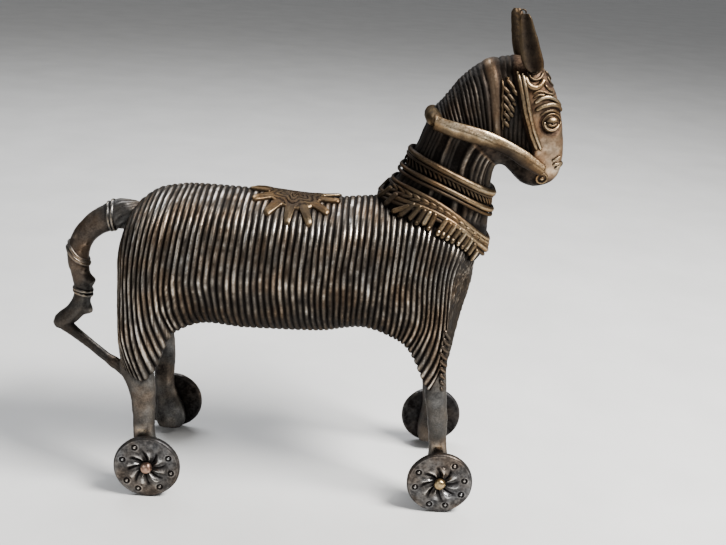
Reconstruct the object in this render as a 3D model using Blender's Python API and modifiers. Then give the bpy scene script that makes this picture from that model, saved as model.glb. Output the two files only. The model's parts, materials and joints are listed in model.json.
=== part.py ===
"""Bronze toy horse on four wheels, made the lost-wax way, with wax threads wound round a clay core.

+X is the way the horse faces, +Y is its left side and +Z is up. The origin is on the ground, under the
middle of the whole toy. Lengths are in millimetres and MM turns them into metres; in the tables and
routes x is counted from the line midway between the two axles.
"""
import math

import bmesh
import bpy
import numpy as np
from mathutils import Matrix, Vector
from mathutils.bvhtree import BVHTree

MM = 0.001

# Driving dimensions
WHEEL_DIAMETER = 30.0
WHEEL_THICKNESS = 3.2
WHEELBASE = 132.0
TRACK = 64.6
TAIL_REACH = 113.7
NOSE_REACH = 108.3
LEG_SPREAD = 25.0
RIVET_DIAMETER = 3.4
GAP = 0.3

# Worked out from them
AXLE_HEIGHT = WHEEL_DIAMETER / 2
BOX_MIDDLE_TO_AXLES = (TAIL_REACH - NOSE_REACH) / 2
WHEEL_BORE = RIVET_DIAMETER + 2 * GAP
FOOT_FACE = (TRACK - WHEEL_THICKNESS) / 2 - GAP
WHEEL_OUTER_FACE = (TRACK + WHEEL_THICKNESS) / 2
FOOT_INNER_FACE = LEG_SPREAD - 4.6
SIDES = {"right": -1, "left": 1}

# Colour, metallic value and roughness of each finish
FINISHES = {
    "cast_bronze": ((0.10, 0.075, 0.055), 1.0, 0.42),
    "worn_bronze": ((0.36, 0.24, 0.12), 1.0, 0.35),
    "dark_bronze": ((0.09, 0.08, 0.075), 1.0, 0.45),
    "copper": ((0.45, 0.22, 0.14), 1.0, 0.32),
    "fired_clay": ((0.32, 0.19, 0.12), 0.0, 0.95),
}

# Rings of the body, one thread apart for each unit of the first number, from the rump to the chest. A ring
# runs over the back, down each flank to a tip, and back between the legs or under the belly.
# thread, top x z, side x y z, outer x y z, bend x z, tip x y z, inner y, underside x z
BODY_RINGS = [
    (-4, -82, 101, -81, 12, 95, -79.4, 24.5, 76, -79, 64, -78, 25, 49.5, 21.8, -81, 92),
    (-2, -81.4, 113, -80.2, 20, 101, -78.6, 28, 78, -77.8, 64, -75.8, 25, 48, 19.8, -79, 84.5),
    (0, -77.5, 125, -77.6, 25, 105, -77.3, 30, 80, -76, 66, -72.2, 25, 47.6, 19, -75, 80.5),
    (2.2, -71.6, 131.4, -74.2, 27.2, 106, -73.3, 30.3, 82, -71.2, 68, -66.8, 25, 49.6, 18.7, -70.4, 79.4),
    (3.7, -67.6, 134.4, -71.1, 27.8, 106, -70.3, 30.4, 84, -67.2, 71, -61.4, 25, 60, 18.3, -67, 78.8),
    (6, -61.5, 136.6, -66.5, 28.2, 106, -65.4, 30, 88, -62.6, 77, -59.2, 24.6, 69.6, 17.4, -62, 78),
    (8, -56, 137.6, -61.8, 28.2, 106, -60.6, 29, 91.6, -58.6, 83.5, -56, 23.5, 76.5, 15, -58.4, 77),
    (9, -53.5, 138, -59.5, 28.2, 106, -58.4, 28.2, 92, -57, 84.2, -54.6, 23, 77.6, 14, -56.5, 76.6),
    (12, -46, 138.2, -51.5, 28.2, 106, -50, 26.2, 91.2, -49, 84.3, -47.8, 17, 79, 9.6, -49, 75.6),
    (20, -24.5, 137.6, -28.5, 28, 106, -27.2, 24.8, 90.7, -26.4, 83.6, -25.5, 15.2, 78.2, 8.6, -26, 75.2),
    (32, 7.5, 135.6, 4.5, 28, 106, 5.8, 24.8, 91, 6.6, 84.1, 7.5, 15.2, 78.8, 8.6, 7, 75.6),
    (42, 34, 138.2, 31.5, 28.2, 107, 31.2, 25.6, 93.2, 31, 86.7, 30.5, 17, 81.8, 9.6, 31, 77.6),
    (46, 45, 139, 41.5, 28, 108, 41.6, 28, 96, 41.2, 87, 40.2, 22.6, 80.5, 14, 41, 79.5),
    (50, 55.5, 137, 51, 27, 109.5, 51.4, 28.8, 93, 49.8, 83.5, 46.8, 24.6, 76.5, 18, 50, 80.5),
    (52.7, 62, 134, 56.8, 25.8, 110, 56.6, 29.2, 90, 54.2, 79.5, 50.8, 25, 71, 19, 55, 82),
    (54.5, 66.5, 130, 60.4, 24.7, 110, 60, 28.6, 87, 58.4, 73, 54.2, 25, 60, 19.6, 58.5, 83),
    (56, 69.8, 126.8, 63.1, 23.4, 109, 62.4, 27.8, 84, 61.6, 68, 58, 25, 52.6, 20, 61, 84),
    (59, 74, 119, 67.4, 18.6, 106, 63.8, 27, 82, 63.8, 66, 62.2, 25, 50.4, 20.4, 65.4, 86.4),
    (62, 75.4, 111, 70, 13, 101, 64.6, 25.6, 80, 65, 66, 64.6, 25, 51.6, 21.6, 69.6, 90.5),
]

# Slices of the neck and the head. Each runs from the throat side to the crest side of the outline.
# slice, throat x z, crest x z, half width, squareness
HEAD_SLICES = [
    (0.0, 69.0, 104.0, 24.0, 128.0, 21.0, 2.1),
    (1.0, 78.4, 116.0, 31.5, 139.5, 18.6, 2.2),
    (2.0, 79.8, 129.0, 37.0, 147.5, 16.4, 2.2),
    (3.0, 79.4, 142.0, 42.6, 158.6, 14.4, 2.2),
    (4.0, 79.2, 150.4, 46.4, 168.5, 13.4, 2.3),
    (5.0, 80.0, 154.4, 49.6, 176.6, 13.0, 2.3),
    (6.0, 81.0, 155.6, 54.6, 183.2, 12.8, 2.3),
    (7.0, 82.4, 155.6, 62.0, 193.0, 12.6, 2.3),
    (8.0, 84.0, 154.8, 71.0, 200.2, 12.4, 2.4),
    (9.0, 85.8, 153.2, 82.0, 203.2, 12.4, 2.5),
    (10.0, 87.6, 151.4, 92.4, 201.0, 12.4, 2.7),
    (11.0, 89.6, 149.6, 99.4, 193.8, 12.2, 2.9),
    (12.0, 91.6, 148.4, 104.2, 183.6, 11.8, 3.0),
    (13.0, 93.6, 147.8, 107.0, 172.4, 11.2, 3.0),
    (14.0, 96.0, 147.4, 108.3, 163.0, 10.2, 2.9),
    (15.0, 99.0, 147.8, 107.6, 155.4, 8.8, 2.6),
    (16.0, 101.8, 149.0, 105.2, 151.4, 5.4, 2.2),
]
THREADS_PER_RING = 3
NECK_SEAM = 5.0
HALF_SEAM = 0.05
HEAD_END = 16.0
# A tip this far below the underside of its ring belongs to a leg
LEG_REACH = 20.0


def at(x, y, z):
    """A point of the tables, in metres, in the toy's frame."""
    return Vector((x + BOX_MIDDLE_TO_AXLES, y, z)) * MM


def clear_scene():
    for thing in list(bpy.data.objects):
        bpy.data.objects.remove(thing, do_unlink=True)


def make_collections():
    model = bpy.data.collections.new("wheeled_bronze_horse")
    cutters = bpy.data.collections.new("cutters")
    bpy.context.scene.collection.children.link(model)
    bpy.context.scene.collection.children.link(cutters)
    return model, cutters


def finish(name, colour, metallic, roughness):
    material = bpy.data.materials.new(name)
    material.use_nodes = True
    shader = material.node_tree.nodes["Principled BSDF"]
    shader.inputs["Base Color"].default_value = (*colour, 1.0)
    shader.inputs["Metallic"].default_value = metallic
    shader.inputs["Roughness"].default_value = roughness
    return material


# Tables and curves


def row_at(table, place):
    """The row of a table at a place between its rows, on a smooth curve through them."""
    rows = np.array(table)
    knots = rows[:, 0]
    first = int(np.clip(np.searchsorted(knots, place, side="right") - 1, 0, len(knots) - 2))
    slopes = np.gradient(rows, knots, axis=0)
    step = knots[first + 1] - knots[first]
    t = (place - knots[first]) / step
    ease = t * t * (3 - 2 * t)
    start = t * (1 - t) ** 2 * step
    end = t * t * (t - 1) * step
    return rows[first] * (1 - ease) + rows[first + 1] * ease + slopes[first] * start + slopes[first + 1] * end


def curve_point(points, t):
    """A point of the Catmull-Rom curve through four points, from the second to the third."""
    a, b, c, d = points
    straight = 2 * b + (c - a) * t
    bend = (2 * a - 5 * b + 4 * c - d) * t * t
    twist = (3 * b - a - 3 * c + d) * t ** 3
    return (straight + bend + twist) / 2


def closed_curve(points, counts):
    """Points on the closed smooth curve through the given ones, with a count for each span."""
    total = len(points)
    found = []
    for span, count in enumerate(counts):
        four = [points[(span + shift) % total] for shift in (-1, 0, 1, 2)]
        for step in range(count):
            found.append(curve_point(four, step / count))
    return found


def open_curve(points, count):
    """Points on the open smooth curve through the given ones, count to each span."""
    ends = [points[0] * 2 - points[1], *points, points[-1] * 2 - points[-2]]
    found = []
    for span in range(len(points) - 1):
        for step in range(count):
            found.append(curve_point(ends[span:span + 4], step / count))
    return found + [points[-1]]


def smooth_values(values, count):
    """Numbers on a smooth curve through the given ones."""
    return [value[0] for value in open_curve([Vector((size, 0)) for size in values], count)]


def body_ring(thread, count=2):
    """One closed ring of the body, with as many points from its top to a tip as from there to its foot."""
    row = row_at(BODY_RINGS, thread)[1:]
    top_x, top_z, side_x, side_y, side_z, outer_x, outer_y, outer_z, bend_x, bend_z = row[:10]
    tip_x, tip_y, tip_z, inner_y, under_x, under_z = row[10:]
    shoulder = (top_x * 0.6 + side_x * 0.4, side_y * 0.74, side_z + (top_z - side_z) * 0.7)
    on_leg = min(max((under_z - tip_z) / LEG_REACH, 0.0), 1.0)
    outward = 0.6 + 0.25 * on_leg
    bend = (bend_x, outer_y * outward + tip_y * (1 - outward), bend_z)
    inner_x = (tip_x * 0.55 + under_x * 0.45) * (1 - on_leg) + bend_x * on_leg
    inner = (inner_x, inner_y, tip_z * 0.5 + under_z * 0.5)
    side = (side_x, side_y, side_z)
    outer = (outer_x, outer_y, outer_z)
    half = [shoulder, side, outer, bend, (tip_x, tip_y, tip_z), inner]
    left = [at(*point) for point in half]
    right = [at(x, -y, z) for x, y, z in reversed(half)]
    points = [at(top_x, 0, top_z), *left, at(under_x, 0, under_z), *right]
    flank = [count] * 5
    inside = [5 * count // 2] * 2
    return closed_curve(points, flank + inside + inside + flank)


def head_slice(place, count=20, swell=0.0):
    """One closed slice of the neck or the head, grown outwards by swell millimetres."""
    throat_x, throat_z, crest_x, crest_z, half_width, squareness = row_at(HEAD_SLICES, place)[1:]
    middle = at((throat_x + crest_x) / 2, 0, (throat_z + crest_z) / 2)
    reach = at(crest_x, 0, crest_z) - middle
    reach = reach * (1 + swell * MM / reach.length)
    found = []
    for step in range(count):
        turn = 2 * math.pi * step / count
        along = math.copysign(abs(math.cos(turn)) ** (2 / squareness), math.cos(turn))
        across = math.copysign(abs(math.sin(turn)) ** (2 / squareness), math.sin(turn))
        found.append(middle + reach * along + Vector((0, (half_width + swell) * MM * across, 0)))
    return found


# Meshes


def skin(rings, arched_ends=False):
    """A closed surface over rings of equal length. Arched ends are closed from each flank to its inside."""
    mesh = bmesh.new()
    rows = [[mesh.verts.new(point) for point in ring] for ring in rings]
    count = len(rows[0])
    for row, following in zip(rows, rows[1:]):
        for step in range(count):
            after = (step + 1) % count
            mesh.faces.new((row[step], row[after], following[after], following[step]))
    for row in (rows[0], rows[-1]):
        if arched_ends:
            close_arch(mesh, row)
        else:
            mesh.faces.new(row)
    bmesh.ops.recalc_face_normals(mesh, faces=mesh.faces)
    return mesh


def close_arch(mesh, row):
    """Faces across an arch-shaped ring, from its outer line to its inner line."""
    half = len(row) // 2
    quarter = half // 2
    for start, way in ((0, 1), (0, -1)):
        for step in range(quarter):
            outer = row[start + way * step]
            outer_next = row[start + way * (step + 1)]
            inner = row[(start + way * (half - step)) % len(row)]
            inner_next = row[(start + way * (half - step - 1)) % len(row)]
            corners = [outer, outer_next, inner_next, inner]
            if outer_next is inner_next:
                corners = [outer, outer_next, inner]
            mesh.faces.new(corners)


def grown(mesh, distance):
    """A copy of a mesh with its surface moved outwards."""
    copy = mesh.copy()
    copy.normal_update()
    moves = [(vertex, vertex.normal * distance * MM) for vertex in copy.verts]
    for vertex, move in moves:
        vertex.co += move
    return copy


def add_object(name, mesh, collection, material=None, smooth_angle=40):
    data = bpy.data.meshes.new(name)
    mesh.to_mesh(data)
    mesh.free()
    thing = bpy.data.objects.new(name, data)
    collection.objects.link(thing)
    if material:
        data.materials.append(material)
        data.shade_smooth()
        data.set_sharp_from_angle(angle=math.radians(smooth_angle))
    else:
        thing.hide_render = True
        thing.display_type = "WIRE"
    return thing


def boolean(thing, other, operation="DIFFERENCE"):
    modifier = thing.modifiers.new(operation.lower(), "BOOLEAN")
    modifier.operation = operation
    modifier.solver = "EXACT"
    modifier.object = other


def wire(name, points, radius, collection, material, radii=None, cyclic=False, roundness=1):
    """A round wire along points, as a mesh that a cutter can trim."""
    data = bpy.data.curves.new(name, "CURVE")
    data.dimensions = "3D"
    data.bevel_depth = radius * MM
    data.bevel_resolution = roundness
    data.use_fill_caps = not cyclic
    spline = data.splines.new("POLY")
    spline.points.add(len(points) - 1)
    spline.use_cyclic_u = cyclic
    for place, point in enumerate(points):
        spline.points[place].co = (*point, 1.0)
        spline.points[place].radius = radii[place] if radii else 1.0
    guide = bpy.data.objects.new(name + "_guide", data)
    collection.objects.link(guide)
    bpy.context.view_layer.update()
    solid = bpy.data.meshes.new_from_object(guide.evaluated_get(bpy.context.evaluated_depsgraph_get()))
    mesh = bmesh.new()
    mesh.from_mesh(solid)
    bmesh.ops.remove_doubles(mesh, verts=mesh.verts, dist=0.01 * MM)
    bmesh.ops.recalc_face_normals(mesh, faces=mesh.faces)
    bpy.data.objects.remove(guide, do_unlink=True)
    bpy.data.meshes.remove(solid)
    return add_object(name, mesh, collection, material)


def oval_sweep(points, across, heights, depths, sides=10):
    """A closed bar of oval section along points. Heights lie in the side view, depths along across."""
    rings = []
    for place, point in enumerate(points):
        before = points[max(place - 1, 0)]
        after = points[min(place + 1, len(points) - 1)]
        upright = (after - before).normalized().cross(across).normalized()
        ring = []
        for step in range(sides):
            turn = 2 * math.pi * step / sides
            lift = upright * (heights[place] * MM * math.cos(turn))
            ring.append(point + lift + across * (depths[place] * MM * math.sin(turn)))
        rings.append(ring)
    return skin(rings)


class Surface:
    """The outside of one or more forms, to lay trim on."""

    def __init__(self, *meshes):
        self.trees = [BVHTree.FromBMesh(mesh) for mesh in meshes]

    def beside(self, x, z, side, lift=0.0):
        """The outermost point at x and z on one side, lifted off the surface, and its normal there."""
        start = at(x, side * 60, z)
        best = None
        for tree in self.trees:
            place, normal, _, _ = tree.ray_cast(start, Vector((0, -side, 0)))
            if place and (best is None or abs(place.y) > abs(best[0].y)):
                best = (place, normal)
        return best[0] + best[1] * lift * MM, best[1]

    def nearest(self, point, lift=0.0):
        """The surface point nearest to a point, lifted off the surface."""
        place, normal, _, _ = self.trees[0].find_nearest(point)
        return place + normal * lift * MM

    def above(self, x, y):
        """The highest point at x and y."""
        heights = []
        for tree in self.trees:
            place, _, _, _ = tree.ray_cast(at(x, y, 300), Vector((0, 0, -1)))
            if place:
                heights.append(place.z)
        return max(heights)


# The cast body


def body_mesh():
    first, last = BODY_RINGS[0][0], BODY_RINGS[-1][0]
    total = int(round((last - first) / THREADS_PER_RING))
    rings = [body_ring(first + place * THREADS_PER_RING) for place in range(total + 1)]
    return skin(rings, arched_ends=True)


# Clay core: its size, and its middle in x and z
CORE_LENGTH = 122.0
CORE_WIDTH = 46.0
CORE_HEIGHT = 52.0
CORE_MIDDLE = (-8.0, 106.5)
# Hole in the top of the torso under the neck
NECK_HOLE_RADIUS = 9.0
NECK_HOLE_LENGTH = 34.0
NECK_HOLE_LEAN = 25.0
NECK_HOLE_MIDDLE = (45.0, 0.0, 128.0)


def core_form(shrink=0.0):
    """The long rounded form of the core, lying along X."""
    mesh = bmesh.new()
    bmesh.ops.create_uvsphere(mesh, u_segments=20, v_segments=11, radius=1.0)
    bmesh.ops.rotate(mesh, verts=mesh.verts, matrix=Matrix.Rotation(math.pi / 2, 3, "Y"))
    round_end = CORE_HEIGHT / 2
    middle_x, middle_z = CORE_MIDDLE
    for vertex in mesh.verts:
        x = vertex.co.x * (round_end - shrink)
        if abs(vertex.co.x) > 0.01:
            x += math.copysign(CORE_LENGTH / 2 - round_end, vertex.co.x)
        y = vertex.co.y * (CORE_WIDTH / 2 - shrink)
        z = vertex.co.z * (CORE_HEIGHT / 2 - shrink)
        vertex.co = at(middle_x + x, y, middle_z + z)
    return mesh


def make_torso(model, cutters, bronze):
    """The thread-wound barrel with its haunches and shoulders, hollow, open at the neck seat."""
    torso = add_object("torso_shell", body_mesh(), model, bronze)
    boolean(torso, add_object("core_space", core_form(), cutters))
    hole = bmesh.new()
    radius = NECK_HOLE_RADIUS * MM
    bmesh.ops.create_cone(
        hole, cap_ends=True, segments=20, radius1=radius, radius2=radius, depth=NECK_HOLE_LENGTH * MM)
    lean = Matrix.Rotation(math.radians(NECK_HOLE_LEAN), 4, "Y")
    bmesh.ops.transform(hole, matrix=Matrix.Translation(at(*NECK_HOLE_MIDDLE)) @ lean, verts=hole.verts)
    boolean(torso, add_object("neck_seat_hole", hole, cutters))


def make_clay_core(model, clay):
    add_object("clay_core", core_form(shrink=GAP), model, clay)


def head_mesh(first, last, per_slice=2):
    total = int(round((last - first) * per_slice))
    step = (last - first) / total
    return skin([head_slice(first + place * step) for place in range(total + 1)])


def make_neck_and_head(model, bronze, body_grown):
    neck = add_object("neck", head_mesh(0.0, NECK_SEAM - HALF_SEAM), model, bronze)
    boolean(neck, body_grown)
    add_object("head", head_mesh(NECK_SEAM + HALF_SEAM, HEAD_END), model, bronze)


# Legs and wheels

# Shank of each pair of legs, from the thread-wound thigh down to the foot: x, z, half length, half width
HIND_SHANK = [(-70.1, 57.0, 5.4, 3.9), (-70.2, 50.0, 6.0, 5.1), (-70.1, 42.0, 5.6, 5.2)]
HIND_SHANK += [(-69.1, 30.0, 5.0, 4.9), (-67.2, 18.0, 6.0, 4.9)]
FRONT_SHANK = [(61.0, 62.0, 4.0, 3.8), (62.3, 55.0, 4.4, 4.7), (63.0, 50.0, 4.1, 4.6)]
FRONT_SHANK += [(64.5, 32.0, 3.8, 4.3), (65.6, 18.0, 5.6, 4.9)]
# Half length, width and height of the foot boss, and how far it sits outwards and below the axle line
BOSS = (8.0, 6.6, 7.6)
BOSS_OUT = 0.4
BOSS_DROP = 0.4
# Size of the blocks that cut the flat faces of the boss
FACING = (24.0, 10.0, 24.0)
# Wheel: chamfer of the rim, and radius and depth of the dish round the bore
RIM_CHAMFER = 0.7
DISH = [(4.6, 0.9), (7.0, 0.0)]
BORE_DEPTH = 1.2
# Rivet: the dome of its head, how deep the head sits in the dish, and the hammered end
HEAD_RADIUS = 2.8
HEAD_RIM = 0.6
HEAD_DOME = 2.4
HEAD_SINK = 0.9
HAMMERED_END = [(2.4, 0.0), (2.4, 0.5), (1.5, 1.3), (0.0, 1.5)]


def make_leg(name, shank, side, axle_x, model, cutters, bronze, body_grown):
    """A smooth cast shank with the foot boss that its wheel is riveted to."""
    rings = []
    for x, z, half_length, half_width in open_curve([Vector(row) for row in shank], 2):
        ring = []
        for step in range(12):
            turn = 2 * math.pi * step / 12
            across = side * LEG_SPREAD + half_width * math.sin(turn)
            ring.append(at(x + half_length * math.cos(turn), across, z))
        rings.append(ring)
    leg = add_object(name, skin(rings), model, bronze)
    boss = bmesh.new()
    bmesh.ops.create_uvsphere(boss, u_segments=14, v_segments=9, radius=1.0)
    for vertex in boss.verts:
        x, y, z = vertex.co
        across = side * (LEG_SPREAD + BOSS_OUT) + BOSS[1] * y
        vertex.co = at(axle_x + BOSS[0] * x, across, AXLE_HEIGHT - BOSS_DROP + BOSS[2] * z)
    boolean(leg, add_object(name + "_boss", boss, cutters), "UNION")
    boolean(leg, body_grown)
    for label, face in (("outer", FOOT_FACE + FACING[1] / 2), ("inner", FOOT_INNER_FACE - FACING[1] / 2)):
        block = bmesh.new()
        bmesh.ops.create_cube(block, size=1.0)
        place = Matrix.Translation(at(axle_x, side * face, AXLE_HEIGHT))
        size = Matrix.Diagonal((*(length * MM for length in FACING), 1.0))
        bmesh.ops.transform(block, matrix=place @ size, verts=block.verts)
        boolean(leg, add_object(f"{name}_{label}_facing", block, cutters))
    boolean(leg, add_object(name + "_bore", bore_mesh(axle_x, side * LEG_SPREAD), cutters))


def bore_mesh(x, y):
    """A cutter for the rivet's hole through a foot."""
    mesh = bmesh.new()
    radius = (RIVET_DIAMETER / 2 + GAP) * MM
    bmesh.ops.create_cone(
        mesh, cap_ends=True, segments=12, radius1=radius, radius2=radius, depth=FACING[0] * MM)
    turn = Matrix.Rotation(math.pi / 2, 4, "X")
    bmesh.ops.transform(mesh, matrix=Matrix.Translation(at(x, y, AXLE_HEIGHT)) @ turn, verts=mesh.verts)
    return mesh


def turned(name, profile, side, x, y, model, material, segments):
    """A piece turned about a line along Y; the profile gives radius and reach away from the horse."""
    mesh = bmesh.new()
    row = [mesh.verts.new((radius * MM, 0, reach * MM)) for radius, reach in profile]
    for first, second in zip(row, row[1:]):
        mesh.edges.new((first, second))
    piece = add_object(name, mesh, model, material)
    piece.location = at(x, y, AXLE_HEIGHT)
    piece.rotation_euler = (-side * math.pi / 2, 0, 0)
    screw = piece.modifiers.new("turn", "SCREW")
    screw.steps = segments
    screw.render_steps = segments
    screw.use_merge_vertices = True
    screw.merge_threshold = 0.00001
    screw.use_smooth_shade = True


def make_wheel(name, side, axle_x, model, bronze):
    """A thin cast disc, dished about its bore on the outer face, on its axle line."""
    half = WHEEL_THICKNESS / 2
    rim = WHEEL_DIAMETER / 2
    bore = WHEEL_BORE / 2
    profile = [(bore, half - BORE_DEPTH), *((radius, half - depth) for radius, depth in DISH)]
    profile += [(rim - RIM_CHAMFER, half), (rim, half - RIM_CHAMFER)]
    profile += [(rim, RIM_CHAMFER - half), (rim - RIM_CHAMFER, -half), (bore, -half), profile[0]]
    turned(name, profile, side, axle_x, side * TRACK / 2, model, bronze, segments=28)


def make_rivet(name, side, axle_x, model, copper):
    """A rivet through foot and wheel, with a domed head outside and a hammered end inside."""
    shank = RIVET_DIAMETER / 2
    head_foot = WHEEL_OUTER_FACE - HEAD_SINK + GAP
    inner_foot = FOOT_INNER_FACE - GAP
    profile = []
    for step in range(5):
        turn = math.pi / 2 * step / 4
        profile.append((HEAD_RADIUS * math.sin(turn), head_foot + HEAD_RIM + HEAD_DOME * math.cos(turn)))
    profile += [(HEAD_RADIUS, head_foot), (shank, head_foot), (shank, inner_foot)]
    profile += [(radius, inner_foot - depth) for radius, depth in HAMMERED_END]
    centred = [(radius, reach - TRACK / 2) for radius, reach in profile]
    turned(name, centred, side, axle_x, side * TRACK / 2, model, copper, segments=12)


# Tail

TAIL_LINE = [(-72.0, 0.0, 119.8), (-84.0, -0.5, 122.6), (-92.4, -1.4, 118.6), (-99.0, -2.2, 111.8)]
TAIL_LINE += [(-101.6, -2.8, 103.5), (-100.8, -3.0, 95.0), (-99.8, -3.0, 87.0), (-101.2, -3.2, 80.4)]
TAIL_LINE += [(-104.6, -3.6, 75.6), (-108.2, -4.0, 72.4), (-110.8, -4.2, 70.7), (-113.02, -4.3, 69.6)]
TAIL_THICKNESS = [7.4, 6.6, 5.6, 5.1, 4.9, 4.2, 4.0, 4.1, 4.1, 4.1, 3.5, 1.7]
STRUT_LINE = [(-108.0, -4.0, 72.0), (-103.5, -7.0, 67.8), (-95.1, -12.5, 64.7), (-87.6, -17.0, 61.5)]
STRUT_LINE += [(-78.0, -22.6, 57.8)]
STRUT_RADIUS = 2.1


def make_tail(model, bronze, body_grown):
    line = open_curve([at(*point) for point in TAIL_LINE], 2)
    thickness = smooth_values(TAIL_THICKNESS, 2)
    ratios = [size / TAIL_THICKNESS[0] for size in thickness]
    tail = wire("tail", line, TAIL_THICKNESS[0], model, bronze, radii=ratios)
    boolean(tail, body_grown)
    return tail


def make_tail_strut(model, cutters, bronze, body_grown, tail):
    """The cast brace from the tip of the tail to the right hind leg."""
    line = open_curve([at(*point) for point in STRUT_LINE], 2)
    strut = wire("tail_strut", line, STRUT_RADIUS, model, bronze)
    copy = bmesh.new()
    copy.from_mesh(tail.data)
    boolean(strut, add_object("tail_grown", grown(copy, GAP), cutters))
    copy.free()
    boolean(strut, body_grown)


# Ears, eyes and bridle

# Ear leaf: x of rear edge, x of front edge, z, half thickness
EAR_LEAF = [(87.8, 92.6, 197.8, 1.4), (85.8, 93.8, 199.4, 2.5), (84.2, 93.4, 202.5, 2.7)]
EAR_LEAF += [(83.0, 91.6, 207.0, 2.5), (82.3, 89.8, 211.6, 2.2), (81.8, 88.0, 215.4, 1.9)]
EAR_LEAF += [(81.5, 86.4, 218.6, 1.5), (82.3, 85.0, 220.3, 0.8)]
EAR_OUT = 11.0
EAR_SPLAY = 0.05
# Wire loop on the tip of the right ear: its middle, its half width and half height, and the wire
LOOP_MIDDLE = (82.6, 11.5, 221.2)
LOOP_SIZE = (1.5, 1.3)
LOOP_WIRE = 0.4
# Eye: its middle in x and z, and the half sizes of its ball
EYE_MIDDLE = (100.0, 176.6)
EYE_BALL = (3.9, 3.2, 2.0)
EYE_LIFT = 0.4


def make_ear(name, side, model, bronze, head_grown):
    rings = []
    for rear, front, z, half in open_curve([Vector(row) for row in EAR_LEAF], 2):
        lean = side * (EAR_OUT + (z - EAR_LEAF[0][2]) * EAR_SPLAY)
        ring = []
        for step in range(10):
            turn = 2 * math.pi * step / 10
            x = (rear + front) / 2 + (front - rear) / 2 * math.cos(turn)
            ring.append(at(x, lean + half * math.sin(turn), z))
        rings.append(ring)
    ear = add_object(name, skin(rings), model, bronze)
    boolean(ear, head_grown)


def make_ear_loop(model, bronze):
    """The little wire loop on the tip of the right ear."""
    points = []
    for step in range(9):
        turn = math.radians(-10 + 200 * step / 8)
        x = LOOP_MIDDLE[0] + LOOP_SIZE[0] * math.cos(turn)
        points.append(at(x, SIDES["right"] * LOOP_MIDDLE[1], LOOP_MIDDLE[2] + LOOP_SIZE[1] * math.sin(turn)))
    wire("ear_tip_loop", points, LOOP_WIRE, model, bronze)


def make_eye(name, side, surface, model, bronze, head_grown):
    centre, normal = surface.beside(*EYE_MIDDLE, side, EYE_LIFT)
    mesh = bmesh.new()
    bmesh.ops.create_uvsphere(mesh, u_segments=14, v_segments=8, radius=1.0)
    turn = normal.to_track_quat("Z", "Y").to_matrix().to_4x4()
    size = Matrix.Diagonal((*(length * MM for length in EYE_BALL), 1.0))
    bmesh.ops.transform(mesh, matrix=Matrix.Translation(centre) @ turn @ size, verts=mesh.verts)
    eye = add_object(name, mesh, model, bronze)
    boolean(eye, head_grown)


# Wires laid on the head: their routes in x and z, their radius, and how far their middle lies off it
CHEEK_ROUTE = [(85.8, 197.0), (88.6, 190.0), (92.4, 179.0), (95.4, 170.0), (97.2, 164.4)]
BROW_ROUTE = [(94.4, 184.4), (97.6, 186.6), (101.0, 185.6), (103.2, 182.4)]
LAID_WIRES = {"cheek_strap": (CHEEK_ROUTE, 1.1, 0.5), "brow_wire": (BROW_ROUTE, 0.8, 0.4)}
# Rein: its route, its half height at each point of the route, and its half thickness
REIN_ROUTE = [(52.8, 12.9, 173.9), (57.5, 14.4, 172.9), (66.0, 15.8, 171.3), (74.5, 16.4, 169.3)]
REIN_ROUTE += [(83.2, 15.4, 165.8), (92.3, 13.2, 160.4), (98.6, 11.4, 156.6)]
REIN_HEIGHTS = [2.8, 3.3, 3.4, 3.3, 3.1, 3.3, 2.7]
REIN_DEPTH = 1.5
# Roll at the nape that the reins meet in: its middle, its half sizes and its lean
KNOB_MIDDLE = (50.4, 0.0, 175.2)
KNOB_SIZE = (3.8, 12.4, 3.6)
KNOB_LEAN = 20.0


def laid_wire(name, route, side, surface, radius, lift, model, bronze, head_grown):
    """A wire laid along the head, with its underside shaped to it."""
    places = open_curve([Vector((x, 0, z)) for x, z in route], 3)
    points = [surface.beside(x, z, side, lift)[0] for x, _, z in places]
    boolean(wire(name, points, radius, model, bronze), head_grown)


def make_rein(name, side, model, bronze, head_grown):
    """The thick strap from the nape to the muzzle, which stands clear of the cheek."""
    points = open_curve([at(x, side * y, z) for x, y, z in REIN_ROUTE], 2)
    heights = smooth_values(REIN_HEIGHTS, 2)
    mesh = oval_sweep(points, Vector((0, 1, 0)), heights, [REIN_DEPTH] * len(points), sides=10)
    boolean(add_object(name, mesh, model, bronze), head_grown)


def make_nape_knob(model, bronze, head_grown):
    mesh = bmesh.new()
    bmesh.ops.create_uvsphere(mesh, u_segments=16, v_segments=9, radius=1.0)
    size = Matrix.Diagonal((*(length * MM for length in KNOB_SIZE), 1.0))
    lean = Matrix.Rotation(math.radians(KNOB_LEAN), 4, "Y")
    bmesh.ops.transform(mesh, matrix=Matrix.Translation(at(*KNOB_MIDDLE)) @ lean @ size, verts=mesh.verts)
    boolean(add_object("nape_knob", mesh, model, bronze), head_grown)


# Collar

# Bands round the neck: the slices each follows at the throat and at the nape, how far its sides rise above
# them, and its wire radius
BANDS = {
    "neck_band_upper": (3.15, 3.13, 1.0, 1.6),
    "neck_band_lower": (2.5, 2.5, 2.0, 1.2),
    "collar_cord_upper": (1.84, 2.0, 2.5, 1.3),
    "collar_cord_lower": (1.1, 1.1, 7.0, 1.5),
}
# The braid fills the space between the collar cords: slices and rise of its lower, middle and upper lines
BRAID_LINES = {"low": (1.30, 1.30, 7.0), "middle": (1.48, 1.56, 4.75), "high": (1.66, 1.82, 2.5)}
BRAID_SECTION = (("low", -1.0), ("low", 0.9), ("middle", 1.4), ("high", 0.9), ("high", -1.0))
BAND_POINTS = 28
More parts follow.
